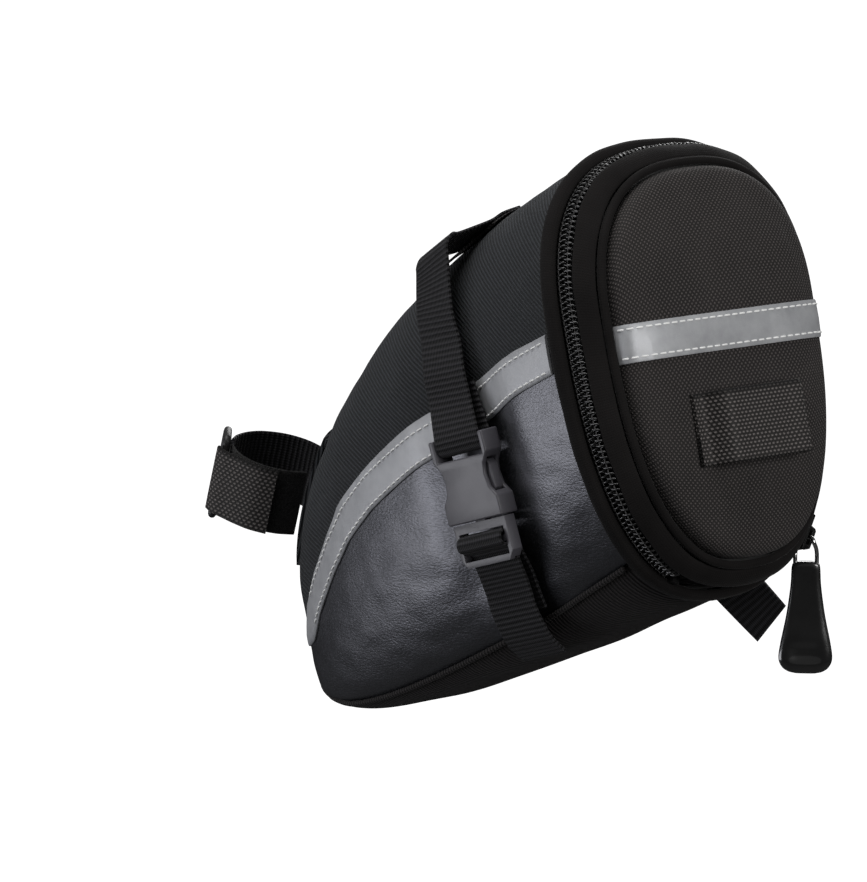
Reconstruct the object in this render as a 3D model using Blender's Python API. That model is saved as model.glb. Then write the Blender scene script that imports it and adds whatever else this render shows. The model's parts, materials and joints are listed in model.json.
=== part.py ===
"""A wedge-shaped bicycle saddle bag with a zipped, hinged lid, two buckled rail straps and a seatpost strap.

Lengths below are in millimetres and become metres in add_mesh. The bag frame has x along the bag's own axis
(rearward), y to the bike's right and z up, with its origin in the middle of the rear opening. An empty
tilts it to the attitude in which the bag hangs and moves the world origin to the middle of the two rail loops.
"""
import math

import bmesh
import bpy
import numpy as np
from mathutils import Matrix, Vector

MM = 0.001
GAP = 0.3

# Body: a wedge that grows from a narrow nose to the D-shaped rear opening
LENGTH = 164.3
HEIGHT = 125.0
WIDTH = 92.4
TILT_DEG = 13.6
NOSE_HALF_WIDTH = 12.7
NOSE_TOP = 21.1
BOTTOM_RISE = 0.163
TOP_FULLNESS = (1.02, 1.626)
TOP_CROWN = 7.5
TOP_WAVE = 1.9
BELLY = 1.1
WIDEST_AT = 0.63
SQUARENESS_ABOVE = (2.36, 2.5)
SQUARENESS_BELOW = (3.15, 2.5)
SEAM_ANGLES = (math.pi + 1.17, math.pi + 0.95)
STRAP_LINE = ((-70.0, -44.0, -20.0, 17.0, 40.0), (-48.5, -45.0, -44.2, -48.5, -51.0))
STRAP_DENT = 4.5
STRAP_DENT_HALF_LENGTH = 20.0
STRAP_DENT_HEIGHTS = (-74.0, -50.0, -10.0, 32.0)

# Layers of the body wall, measured inward from the outer face
PANEL = 1.0
PAD_OUT, PAD_IN = 1.8, 3.8
LINING_OUT, LINING_IN = 5.0, 5.6

# Rear opening: binding, zipper and lid, as distances behind the opening's plane
BINDING_END = 4.2
CHAIN_X = 7.4
CHAIN_INSET = 1.6
COIL_GAP = 1.4
COIL_WIDTH = 2.2
STRIP_START = 10.7
PIPING_X, PIPING_INSET, PIPING_R = 16.0, 6.7, 1.25
FACE_X, FACE_INSET, FACE_RISE = 16.6, 8.4, 7.4
HINGE_Z = -63.4
CHAIN_LEFT_END = 4.3
SLIDER_T = 2.0 * math.pi - 0.938
SLIDER_HALF = 5.5
RING_STEPS = 40

# Rail straps, 20 mm webbing
WEB = 20.0
WEB_THICK = 1.1
LOOP_Z, LOOP_HALF = -18.0, 21.2
LID_TAPE_Z, LID_TAPE_REACH = 8.1, 37.6
PULLER_TURN_DEG = 40.0
RAIL_Y, RAIL_Z, RAIL_R = 31.5, 40.5, 3.5
RAIL_SLOPE_DEG, RAIL_YAW_DEG = 14.0, 14.0
BUCKLE_Z = -19.3
BUCKLE_LIFT = 2.5
BUCKLE_THICK = 6.0
BUCKLE_HALF = 12.2
BUCKLE_TWIST_DEG = 1.5
TAIL_RIGHT_LENGTH = 36.0

# Seatpost strap
POST_R = 14.0
POST_LEAN_DEG = 30.0
NOSE_STRAP_U = 0.065



# ---------------------------------------------------------------- materials

def material(name, colour, roughness, metallic=0.0):
    made = bpy.data.materials.new(name)
    made.use_nodes = True
    shader = made.node_tree.nodes["Principled BSDF"]
    shader.inputs["Base Color"].default_value = (*colour, 1.0)
    shader.inputs["Roughness"].default_value = roughness
    shader.inputs["Metallic"].default_value = metallic
    return made


# ---------------------------------------------------------------- frames and meshes

class Frame:
    """An empty, and where it stands in its parent's millimetres."""

    def __init__(self, name, parent=None, place=(0.0, 0.0, 0.0), turn=None):
        self.empty = bpy.data.objects.new(name, None)
        self.empty.empty_display_size = 0.01
        bpy.context.collection.objects.link(self.empty)
        self.origin = Vector(place)
        turn = turn or Matrix.Identity(3)
        self.empty.matrix_local = Matrix.Translation(self.origin * MM) @ turn.to_4x4()
        if parent:
            self.empty.parent = parent.empty


def add_mesh(name, points, faces, surface, frame, pivot=(0.0, 0.0, 0.0), smooth=True):
    """A closed mesh whose points are in millimetres; pivot is the frame's own place in those coordinates."""
    shape = bmesh.new()
    corners = [shape.verts.new((Vector(point) - Vector(pivot)) * MM) for point in points]
    for face in faces:
        shape.faces.new([corners[index] for index in face])
    bmesh.ops.remove_doubles(shape, verts=shape.verts, dist=0.00002)
    bmesh.ops.recalc_face_normals(shape, faces=shape.faces)
    mesh = bpy.data.meshes.new(name)
    shape.to_mesh(mesh)
    shape.free()
    if smooth:
        mesh.shade_smooth()
        mesh.set_sharp_from_angle(angle=math.radians(35.0))
    mesh.materials.append(surface)
    made = bpy.data.objects.new(name, mesh)
    bpy.context.collection.objects.link(made)
    made.parent = frame.empty
    return made


def boolean(target, tool, operation):
    cut = target.modifiers.new(tool.name, "BOOLEAN")
    cut.object = tool
    cut.operation = operation
    cut.solver = "EXACT"
    tool.hide_render = True
    tool.display_type = "WIRE"


def grid_faces(rows, columns, start=0, wrap_columns=False):
    last = columns if wrap_columns else columns - 1
    faces = []
    for row in range(rows - 1):
        for column in range(last):
            after = (column + 1) % columns
            low, high = start + row * columns, start + (row + 1) * columns
            faces.append((low + column, low + after, high + after, high + column))
    return faces


def layered(outer, inner, open_nose):
    """Points and faces of a sheet between two grids; open_nose adds the rim along the first row."""
    rows, columns = len(outer), len(outer[0])
    count = rows * columns
    points = [point for grid in (outer, inner) for row in grid for point in row]
    faces = grid_faces(rows, columns) + grid_faces(rows, columns, count)
    for row in range(rows - 1):
        for edge in (0, columns - 1):
            low, high = row * columns + edge, (row + 1) * columns + edge
            faces.append((low, high, high + count, low + count))
    for row in [rows - 1] + ([0] if open_nose else []):
        for column in range(columns - 1):
            low = row * columns + column
            faces.append((low, low + 1, low + 1 + count, low + count))
    return points, faces


def swept(sections, closed):
    """Points and faces of equal closed sections joined one after another."""
    count, size = len(sections), len(sections[0])
    points = [point for section in sections for point in section]
    faces = grid_faces(count, size, wrap_columns=True)
    if closed:
        last = (count - 1) * size
        faces += [(last + i, last + (i + 1) % size, (i + 1) % size, i) for i in range(size)]
    else:
        faces += [tuple(range(size)), tuple(range((count - 1) * size, count * size))]
    return points, faces


def ribbon(stations, width, thick):
    """Flat webbing through stations of (centre, width direction, normal)."""
    sections = []
    for centre, across, normal in stations:
        side = Vector(across).normalized() * width / 2
        lift = Vector(normal).normalized() * thick / 2
        middle = Vector(centre)
        sections.append([middle - side - lift, middle + side - lift, middle + side + lift, middle - side + lift])
    return swept(sections, False)


def tube(path, radius, sides=8, closed=False):
    """A round bar along a path, its section carried along without twisting."""
    path = [Vector(point) for point in path]
    count = len(path)
    steps = []
    for i in range(count):
        before = path[i - 1] if closed or i > 0 else path[i]
        after = path[(i + 1) % count] if closed or i < count - 1 else path[i]
        steps.append((after - before).normalized())
    normal = steps[0].orthogonal().normalized()
    sections = []
    for point, step in zip(path, steps):
        normal = (normal - step * normal.dot(step)).normalized()
        other = step.cross(normal)
        turns = [2.0 * math.pi * k / sides for k in range(sides)]
        sections.append([point + (normal * math.cos(a) + other * math.sin(a)) * radius for a in turns])
    return swept(sections, closed)


def prism(outline, low, high):
    """An outline in x and z, extruded along y from low to high."""
    sections = [[(x, y, z) for x, z in outline] for y in (low, high)]
    return swept(sections, False)


def box(low, high):
    (x0, y0, z0), (x1, y1, z1) = low, high
    return prism([(x0, z0), (x1, z0), (x1, z1), (x0, z1)], y0, y1)


# ---------------------------------------------------------------- the bag's outer form

def power(value, exponent):
    return math.copysign(abs(value) ** exponent, value)


def section_sizes(u):
    """Top, bottom, half width and widest height of the cross-section at u, 0 at the nose to 1 at the opening."""
    first, second = TOP_FULLNESS
    top = NOSE_TOP + (HEIGHT - NOSE_TOP) * (1.0 - (1.0 - u) ** first) ** (1.0 / second)
    low = NOSE_TOP * (1.0 - math.sqrt(1.0 - (1.0 - u) ** 4.4)) + BOTTOM_RISE * (u - 1.0) * LENGTH
    half = NOSE_HALF_WIDTH + (WIDTH / 2 - NOSE_HALF_WIDTH) * u ** 0.651
    half *= math.sqrt(1.0 - (1.0 - u) ** 4.61)
    low = min(low, top) - BELLY * math.sin(math.pi * u ** 1.6)
    turn = math.pi * u ** 0.6
    top += TOP_CROWN * math.sin(turn) - TOP_WAVE * math.sin(2.0 * turn)
    return top, low, half, low + WIDEST_AT * (top - low)


def squareness(u, above):
    nose, rear = SQUARENESS_ABOVE if above else SQUARENESS_BELOW
    return nose + (rear - nose) * u ** 2


def seam_angle(u):
    """Where the lower side panels meet the bottom panel."""
    nose, rear = SEAM_ANGLES
    return nose + (rear - nose) * u


def strap_x(z):
    """The line of the rail straps down the sides."""
    return float(np.interp(z, *STRAP_LINE))


def strap_dent(x, z):
    """How far the tight rail straps press the sides in."""
    away = (x - strap_x(z)) / STRAP_DENT_HALF_LENGTH
    return STRAP_DENT * math.exp(-away ** 4) * float(np.interp(z, STRAP_DENT_HEIGHTS, (0.0, 1.0, 1.0, 0.0)))


def shell_point(u, t):
    """A point of the outer form; t turns from the right side (0) over the top to the left (pi) and under."""
    top, low, half, widest = section_sizes(u)
    sine, cosine = math.sin(t), math.cos(t)
    root = 2.0 / squareness(u, sine >= 0.0)
    reach = top - widest if sine >= 0.0 else widest - low
    x = LENGTH * (u - 1.0)
    y = half * power(cosine, root)
    z = widest + reach * power(sine, root) - HEIGHT / 2
    y *= 1.0 - strap_dent(x, z) / half if half > STRAP_DENT else 1.0
    return Vector((x, y, z))


def shell_normal(u, t):
    if u < 0.004:
        return Vector((-1.0, 0.0, 0.0))
    step = 0.003
    ahead = min(u + step, 1.0)
    along = shell_point(ahead, t) - shell_point(ahead - 2.0 * step if u > step else u, t)
    around = shell_point(u, t + 0.02) - shell_point(u, t - 0.02)
    normal = along.cross(around).normalized()
    outward = Vector((0.0, math.cos(t), math.sin(t)))
    return normal if normal.dot(outward) > 0.0 else -normal


def on_shell(u, t, lift):
    return shell_point(u, t) + shell_normal(u, t) * lift


def side_angle(u, z):
    """The angle t of the left side's point at height z."""
    top, low, _, widest = section_sizes(u)
    height = z + HEIGHT / 2 - widest
    above = height >= 0.0
    share = min(abs(height) / (top - widest if above else widest - low), 1.0)
    lean = math.asin(share ** (squareness(u, above) / 2.0))
    return math.pi - lean if above else math.pi + lean


def opening_point(t, x, inset):
    """A point on the rear opening's outline, shrunk by inset and moved back by x."""
    rim = shell_point(1.0, t)
    return Vector((x, rim.y * (1.0 - 2.0 * inset / WIDTH), rim.z * (1.0 - 2.0 * inset / HEIGHT)))


def opening_sweep(profile, start=0.0, end=2.0 * math.pi, steps=RING_STEPS):
    """A closed profile of (x, inset) carried round the opening, all the way or from start to end."""
    closed = end - start > 6.28
    count = steps if closed else steps + 1
    angles = [start + (end - start) * k / steps for k in range(count)]
    return swept([[opening_point(t, x, inset) for x, inset in profile] for t in angles], closed)


def mirrored(t):
    return math.pi - t


# ---------------------------------------------------------------- body

ROWS = [0.0, 0.01, 0.035, 0.08, 0.15, 0.24, 0.35, 0.45, 0.53, 0.57, 0.6, 0.635, 0.7, 0.775, 0.81, 0.84, 0.88, 1.0]
PAD_ROWS = ROWS[3:]
TAPE_U = (0.0, 0.13, 0.22, 0.3, 0.4, 0.6, 0.8, 0.9, 1.0)
TAPE_T = (3.4, 3.25, 3.205, 3.18, 3.173, 3.178, 3.183, 3.185, 3.195)


def tape_angle(u):
    """Where the upper and lower side panels meet."""
    return float(np.interp(u, TAPE_U, TAPE_T))


def sheet(rows, first, last, steps, outer_lift, inner_lift):
    """A wall layer over the given rows, from angle first(u) to last(u)."""
    grids = []
    for lift in (outer_lift, inner_lift):
        grid = []
        for u in rows:
            low, high = first(u), last(u)
            end = -GAP if u == 1.0 else 0.0
            line = []
            for k in range(steps + 1):
                point = on_shell(u, low + (high - low) * k / steps, lift)
                point.x += end
                line.append(point)
            grid.append(line)
        grids.append(grid)
    return grids


def make_upper_panel(frame, cloth):
    edge = 0.006
    outer, inner = sheet(ROWS, lambda u: mirrored(tape_angle(u)) + edge, lambda u: tape_angle(u) - edge,
                         22, 0.0, -PANEL)
    for grid in (outer, inner):
        for point in grid[0]:
            point.y = 0.0
    points, faces = layered(outer, inner, False)
    return add_mesh("upper_panel", points, faces, cloth, frame)


def make_lower_panel(side, frame, leather):
    edge = 0.006
    outer, inner = sheet(ROWS, lambda u: tape_angle(u) + edge, lambda u: seam_angle(u) - 0.012, 9, 0.0, -PANEL)
    for grid in (outer, inner):
        for row in grid:
            for point in row:
                point.y = min(point.y, -GAP / 2)
    points, faces = layered(outer, inner, True)
    if side == "right":
        points = [Vector((p.x, -p.y, p.z)) for p in points]
    return add_mesh(side + "_lower_panel", points, faces, leather, frame)


def make_bottom_panel(frame, ribbed):
    edge = 0.012
    outer, inner = sheet(ROWS, lambda u: seam_angle(u) + edge, lambda u: 3.0 * math.pi - seam_angle(u) - edge,
                         10, 0.0, -PANEL)
    for grid in (outer, inner):
        for point in grid[0]:
            point.y = 0.0
    points, faces = layered(outer, inner, False)
    return add_mesh("bottom_panel", points, faces, ribbed, frame)


def make_pads(frame, foam, board):
    """Foam under the panels and the stiff base board, in one layer, cut at the tape and seam lines."""
    top = sheet(PAD_ROWS, lambda u: mirrored(tape_angle(u)) + 0.03, lambda u: tape_angle(u) - 0.03, 14,
                -PAD_OUT, -PAD_IN)
    add_mesh("top_pad", *layered(*top, True), foam, frame)
    side = sheet(PAD_ROWS, lambda u: tape_angle(u) + 0.03, lambda u: seam_angle(u) - 0.04, 6, -PAD_OUT, -PAD_IN)
    points, faces = layered(*side, True)
    add_mesh("left_pad", points, faces, foam, frame)
    add_mesh("right_pad", [Vector((p.x, -p.y, p.z)) for p in points], faces, foam, frame)
    base = sheet(PAD_ROWS, lambda u: seam_angle(u) + 0.04, lambda u: 3.0 * math.pi - seam_angle(u) - 0.04, 8,
                 -PAD_OUT, -PAD_IN + 0.8)
    add_mesh("base_board", *layered(*base, True), board, frame)


def make_lining(frame, lining):
    """A bag of thin cloth inside the pads, open only at the rear."""
    steps = 24
    rings = []
    for lift in (-LINING_OUT, -LINING_IN):
        rows = [[on_shell(u, 2.0 * math.pi * k / steps, lift) for k in range(steps)] for u in PAD_ROWS]
        for point in rows[-1]:
            point.x = -GAP
        if lift == -LINING_IN:
            for point in rows[0]:
                point.x += LINING_IN - LINING_OUT
        rings.append(rows)
    outer, inner = rings
    points = [point for section in outer for point in section]
    points += [point for section in inner for point in section]
    rows, count = len(outer), len(outer) * steps
    faces = grid_faces(rows, steps, 0, True) + grid_faces(rows, steps, count, True)
    faces += [tuple(range(steps)), tuple(range(count, count + steps))]
    last = (rows - 1) * steps
    for k in range(steps):
        after = (k + 1) % steps
        faces.append((last + k, last + after, count + last + after, count + last + k))
    return add_mesh("body_lining", points, faces, lining, frame)


def make_side_tape(side, frame, silver):
    """Reflective tape over the seam between the upper and lower panels, pointed at the nose."""
    stations = []
    for u in [0.03, 0.055] + ROWS[3:-1] + [0.94, 0.992]:
        t = tape_angle(u)
        across = on_shell(u, t - 0.05, 0.0) - on_shell(u, t + 0.05, 0.0)
        stations.append((on_shell(u, t, 0.7), across, shell_normal(u, t)))
    points, faces = ribbon(stations, 10.5, 0.5)
    if side == "right":
        points = [Vector((p.x, -p.y, p.z)) for p in points]
    return add_mesh(side + "_side_tape", points, faces, silver, frame)


def make_seam_welt(side, frame, cloth):
    """The narrow welt standing out of the seam between lower panel and bottom panel."""
    path = [on_shell(u, seam_angle(u), 0.95) for u in [0.05] + ROWS[3:-1] + [0.985]]
    points, faces = tube(path, 0.5, 6)
    if side == "right":
        points = [Vector((p.x, -p.y, p.z)) for p in points]
    return add_mesh(side + "_seam_welt", points, faces, cloth, frame)


# ---------------------------------------------------------------- rear opening and zipper

def make_opening(frame, velour, tape, coil, metal):
    binding = [(0.0, 1.2), (0.0, -0.5), (1.0, -1.9), (3.2, -1.8), (BINDING_END, -0.5), (BINDING_END, 1.2)]
    inner, outer = CHAIN_INSET + 1.3, CHAIN_INSET + 1.9
    add_mesh("opening_binding", *opening_sweep(binding), velour, frame)
    near = CHAIN_X - COIL_GAP / 2
    strip = [(1.0, inner), (near, inner), (near, outer), (1.0, outer)]
    add_mesh("bag_zipper_tape", *opening_sweep(strip), tape, frame)
    end = slider_end_angle()
    low, high = CHAIN_INSET - 1.0, CHAIN_INSET + 1.0
    teeth = [(near - COIL_WIDTH, low), (near, low), (near, high), (near - COIL_WIDTH, high)]
    add_mesh("bag_coil", *opening_sweep(teeth, end, CHAIN_LEFT_END, 34), coil, frame)
    stop = [(near - COIL_WIDTH, low - 0.1), (near, low - 0.1), (near, high), (near - COIL_WIDTH, high)]
    first = CHAIN_LEFT_END + 0.012
    add_mesh("zipper_end_stop", *opening_sweep(stop, first, first + 0.05, 2), metal, frame)
    hinge = [(CHAIN_X + 0.2, inner), (STRIP_START - GAP, inner), (STRIP_START - GAP, inner - 0.6),
             (CHAIN_X + 0.2, inner - 0.6)]
    add_mesh("lid_hinge_web", *opening_sweep(hinge, 4.45, 4.98, 6), velour, frame)


def slider_end_angle():
    """The end of the coil above the parked slider."""
    return SLIDER_T + 0.13 - 2.0 * math.pi


def slider_arc():
    """Centre and radius, in the opening's plane, of the arc along which the slider runs."""
    samples = [opening_point(SLIDER_T + shift, 0.0, CHAIN_INSET) for shift in (0.0, 0.16, 0.32)]
    (ay, az), (by, bz), (cy, cz) = [(p.y, p.z) for p in samples]
    double = 2.0 * (ay * (bz - cz) + by * (cz - az) + cy * (az - bz))
    a, b, c = ay * ay + az * az, by * by + bz * bz, cy * cy + cz * cz
    y = (a * (bz - cz) + b * (cz - az) + c * (az - bz)) / double
    z = (a * (cy - by) + b * (ay - cy) + c * (by - ay)) / double
    return Vector((CHAIN_X, y, z)), math.hypot(ay - y, az - z)


def slider_frame(bag):
    """Frame on the arc's centre with z outward through the parked slider and x along the chain's width."""
    centre, radius = slider_arc()
    rim = opening_point(SLIDER_T, CHAIN_X, CHAIN_INSET)
    outward = (rim - centre).normalized()
    across = Vector((1.0, 0.0, 0.0))
    turn = Matrix((across, outward.cross(across), outward)).transposed()
    return Frame("slider_arc_centre", bag, centre, turn), centre, radius, outward


def make_slider(frame, radius, metal):
    """Two plates joined by a thin post at the front, with an arch for the puller's wire."""
    half = SLIDER_HALF
    plate = prism([(-3.0, 1.7), (-2.5, 2.2), (2.5, 2.2), (3.0, 1.7), (3.0, 1.2), (-3.0, 1.2)], -half, half)
    add = add_mesh("zipper_slider", [Vector(p) + Vector((0, 0, radius)) for p in plate[0]], plate[1], metal, frame)
    post = box((-0.4, -half + 0.3, -3.3), (0.4, -half + 2.2, 1.6))
    under = box((-3.2, -half, -3.6), (0.3, half, -2.7))
    arch_side = [(-3.4, 2.0), (-3.4, 5.0), (-2.8, 5.6), (2.8, 5.6), (3.4, 5.0), (3.4, 2.0), (2.4, 2.0), (2.4, 4.6),
                 (-2.4, 4.6), (-2.4, 2.0)]
    arch = swept([[(x, y, z) for y, z in arch_side] for x in (-0.9, 0.9)], False)
    for name, (points, faces) in (("slider_post", post), ("slider_under_plate", under), ("slider_arch", arch)):
        moved = [Vector(p) + Vector((0, 0, radius)) for p in points]
        boolean(add, add_mesh(name, moved, faces, metal, frame, smooth=False), "UNION")
    return add


def twisted(point, share=1.0):
    """A point of the puller, turned about its length by a share of the grip's turn."""
    angle = math.radians(PULLER_TURN_DEG) * share
    x, y, z = point
    return x * math.cos(angle) - y * math.sin(angle), x * math.sin(angle) + y * math.cos(angle), z


def make_puller(frame, steel, gloss):
    """The steel wire loop and the moulded grip that hang from the slider's arch; z here is straight down."""
    half, drop, wire = 3.0, 8.0, 0.6
    path = [twisted((-half, 0, -drop)), twisted((-half, 0, -4.8)), (-half, 0, -1.2), (-half + 1.0, 0, 0.0),
            (half - 1.0, 0, 0.0), (half, 0, -1.2), twisted((half, 0, -4.8)), twisted((half, 0, -drop))]
    add_mesh("puller_wire", *tube(path, wire, 8), steel, frame)
    rows = [(-7.0, 2.4, 0.9), (-8.2, 3.9, 1.6), (-14.0, 4.3, 1.7), (-22.0, 5.4, 1.9), (-30.0, 7.0, 2.3),
            (-35.0, 7.3, 2.3), (-37.6, 5.6, 1.7), (-38.4, 3.0, 0.9)]
    sections = []
    for z, wide, thick in rows:
        turns = [2.0 * math.pi * k / 12 for k in range(12)]
        sections.append([twisted((wide * power(math.cos(a), 0.6), thick * power(math.sin(a), 0.6), z)) for a in turns])
    grip = add_mesh("puller_grip", *swept(sections, False), gloss, frame)
    for name, x in (("wire_hole_front", -half), ("wire_hole_rear", half)):
        corners, faces = box((x - 0.95, -0.95, -8.5), (x + 0.95, 0.95, -5.0))
        hole = add_mesh(name, [twisted(corner) for corner in corners], faces, gloss, frame, smooth=False)
        boolean(grip, hole, "DIFFERENCE")


# ---------------------------------------------------------------- lid

def face_height(share):
    """How far the padded face stands off its rim; share is 0 at the rim and 1 in the middle."""
    return FACE_RISE * (1.0 - (1.0 - share) ** 3) ** (1.0 / 1.8)


def face_point(t, share, drop=0.0):
    rim = opening_point(t, 0.0, FACE_INSET)
    left = 1.0 - share
    return Vector((FACE_X + face_height(share) - drop, rim.y * left, rim.z * left))


def face_x(y, z, drop=0.0):
    """Height of the padded face at a point of the rear view."""
    low, high = 0.0, 1.0
    edge = opening_point(best_angle(y, z), 0.0, FACE_INSET)
    for _ in range(24):
        middle = (low + high) / 2
        rim = edge * (1.0 - middle)
        if math.hypot(rim.y, rim.z) > math.hypot(y, z):
            low = middle
        else:
            high = middle
    return FACE_X + face_height((low + high) / 2) - drop


def best_angle(y, z):
    """The contour angle whose rim point lies in the direction (y, z) from the middle."""
    target = math.atan2(z, y)
    low, high = (0.0, math.pi) if z >= 0.0 else (-math.pi, 0.0)
    for _ in range(30):
        middle = (low + high) / 2
        rim = opening_point(middle, 0.0, FACE_INSET)
        if math.atan2(rim.z, rim.y) < target:
            low = middle
        else:
            high = middle
    return (low + high) / 2


def domed(rim_inset_shares, floor_x, drop, steps=RING_STEPS):
    """A pad with the face's form on top and a flat underside at floor_x, or parallel to it if floor_x is None."""
    angles = [2.0 * math.pi * k / steps for k in range(steps)]
    upper = [[face_point(t, share, drop) for t in angles] for share in rim_inset_shares]
    lower = []
    for row in upper:
        lower.append([Vector((p.x - PANEL if floor_x is None else floor_x, p.y, p.z)) for p in row])
    rows = len(upper)
    points = [p for grid in (upper, lower) for row in grid for p in row]
    count = rows * steps
    faces = grid_faces(rows, steps, 0, True) + grid_faces(rows, steps, count, True)
    for k in range(steps):
        after = (k + 1) % steps
        faces.append((k, after, count + after, count + k))
    top_centre, low_centre = len(points), len(points) + 1
    height = FACE_X + FACE_RISE - drop
    points += [Vector((height, 0, 0)), Vector((height - PANEL if floor_x is None else floor_x, 0, 0))]
    last = (rows - 1) * steps
    for k in range(steps):
        after = (k + 1) % steps
        faces.append((last + k, last + after, top_centre))
        faces.append((count + last + k, count + last + after, low_centre))
    return points, faces


def flat_plate(inset, low_x, high_x, steps=RING_STEPS):
    angles = [2.0 * math.pi * k / steps for k in range(steps)]
    return swept([[opening_point(t, x, inset) for t in angles] for x in (low_x, high_x)], False)


def make_lid(lid, pivot, velour, tape, coil, piping, nylon, foam, board, lining):
    far = CHAIN_X + COIL_GAP / 2
    end = slider_end_angle()
    low, high, inner, outer = [CHAIN_INSET + depth for depth in (-1.0, 1.0, 1.3, 1.9)]
    teeth = [(far, low), (far + COIL_WIDTH, low), (far + COIL_WIDTH, high), (far, high)]
    band = [(far, inner), (STRIP_START - GAP, inner), (STRIP_START - GAP, outer), (far, outer)]
    strip = [(STRIP_START, 1.2), (12.1, 1.9), (13.8, 3.3), (15.0, 5.2), (14.0, 5.5), (12.9, 4.3), (11.8, 3.4),
             (STRIP_START, 2.9)]
    add_mesh("lid_coil", *opening_sweep(teeth, end, CHAIN_LEFT_END, 34), coil, lid, pivot)
    add_mesh("lid_zipper_tape", *opening_sweep(band, end, CHAIN_LEFT_END, 34), tape, lid, pivot)
    add_mesh("lid_strip", *opening_sweep(strip), velour, lid, pivot)
    path = [opening_point(2.0 * math.pi * k / RING_STEPS, PIPING_X, PIPING_INSET) for k in range(RING_STEPS)]
    add_mesh("lid_piping", *tube(path, PIPING_R, 6, True), piping, lid, pivot)
    add_mesh("lid_panel", *domed([0.0, 0.05, 0.14, 0.28, 0.5, 0.75], None, 0.0), nylon, lid, pivot)
    add_mesh("lid_pad", *domed([0.14, 0.28, 0.5, 0.75], 14.6, PANEL + GAP), foam, lid, pivot)
    add_mesh("lid_board", *flat_plate(7.6, 12.9, 13.8), board, lid, pivot)
    add_mesh("lid_lining", *flat_plate(5.6, 12.0, 12.6), lining, lid, pivot)


def make_lid_trim(lid, pivot, silver, webbing):
    """The reflective tape across the lid and the webbing loop for a clip-on light."""
    stations = []
    z, reach = LID_TAPE_Z, LID_TAPE_REACH
    for k in range(15):
        y = -reach + 2.0 * reach * k / 14
        rise = face_x(y + 0.5, z) - face_x(y - 0.5, z)
        normal = Vector((1.0, -rise, 0.0))
        stations.append((Vector((face_x(y, z) + 0.65, y, z)), (0, 0, 1), normal))
    add_mesh("lid_tape", *ribbon(stations, 10.5, 0.5), silver, lid, pivot)
    make_light_loop(lid, pivot, webbing)


def make_light_loop(lid, pivot, webbing):
    """Webbing sewn down at both ends and standing off the lid between them."""
    z, half, foot = LOOP_Z, LOOP_HALF, 4.0
    base = face_x(0.0, z)
    path = []
    for y in (-half, -half + foot):
        path.append((face_x(y, z) + 1.0, y))
    for y in (-half + foot + 3.0, -8.0, 0.0, 8.0, half - foot - 3.0):
        path.append((base + 6.8, y))
    for y in (half - foot, half):
        path.append((face_x(y, z) + 1.0, y))
    stations = []
    for k, (x, y) in enumerate(path):
        before, after = path[max(k - 1, 0)], path[min(k + 1, len(path) - 1)]
        along = Vector((after[0] - before[0], after[1] - before[1], 0.0))
        stations.append((Vector((x, y, z)), (0, 0, 1), Vector((along.y, -along.x, 0.0))))
    add_mesh("light_loop", *ribbon(stations, WEB, 1.3), webbing, lid, pivot)


# ---------------------------------------------------------------- rail straps and buckles

def strap_station(z, lift, shift=0.0):
    """A place on the left side under the strap's middle, lifted off the surface and moved forward by shift."""
    x = strap_x(z) - shift
    u = 1.0 + x / LENGTH
    t = side_angle(u, z)
    normal = shell_normal(u, t)
    ahead = shell_point(u + 0.03, side_angle(u + 0.03, z)) - shell_point(u - 0.03, side_angle(u - 0.03, z))
    return shell_point(u, t) + normal * lift, ahead, normal


def buckle_axes():
    """Centre on the side panel and the axes across, outward and up of the left buckle."""
    centre, _, normal = strap_station(BUCKLE_Z, 0.0)
    up = (strap_station(BUCKLE_Z + 12.0, 0.0)[0] - strap_station(BUCKLE_Z - 12.0, 0.0)[0]).normalized()
    outward = (normal - up * normal.dot(up)).normalized()
    outward = Matrix.Rotation(math.radians(BUCKLE_TWIST_DEG), 3, up) @ outward
    return centre, outward.cross(up), outward, up


def flipped(vector, side):
    return Vector((vector.x, -vector.y if side == "right" else vector.y, vector.z))


def buckle_frame(side, bag):
    centre, _, outward, up = [flipped(v, side) for v in buckle_axes()]
    turn = Matrix((outward.cross(up), outward, up)).transposed()
    return Frame(side + "_buckle", bag, centre, turn)


def to_bag(point):
    """From the left buckle's frame to the bag frame."""
    centre, across, outward, up = buckle_axes()
    return centre + across * point[0] + outward * point[1] + up * point[2]


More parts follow.
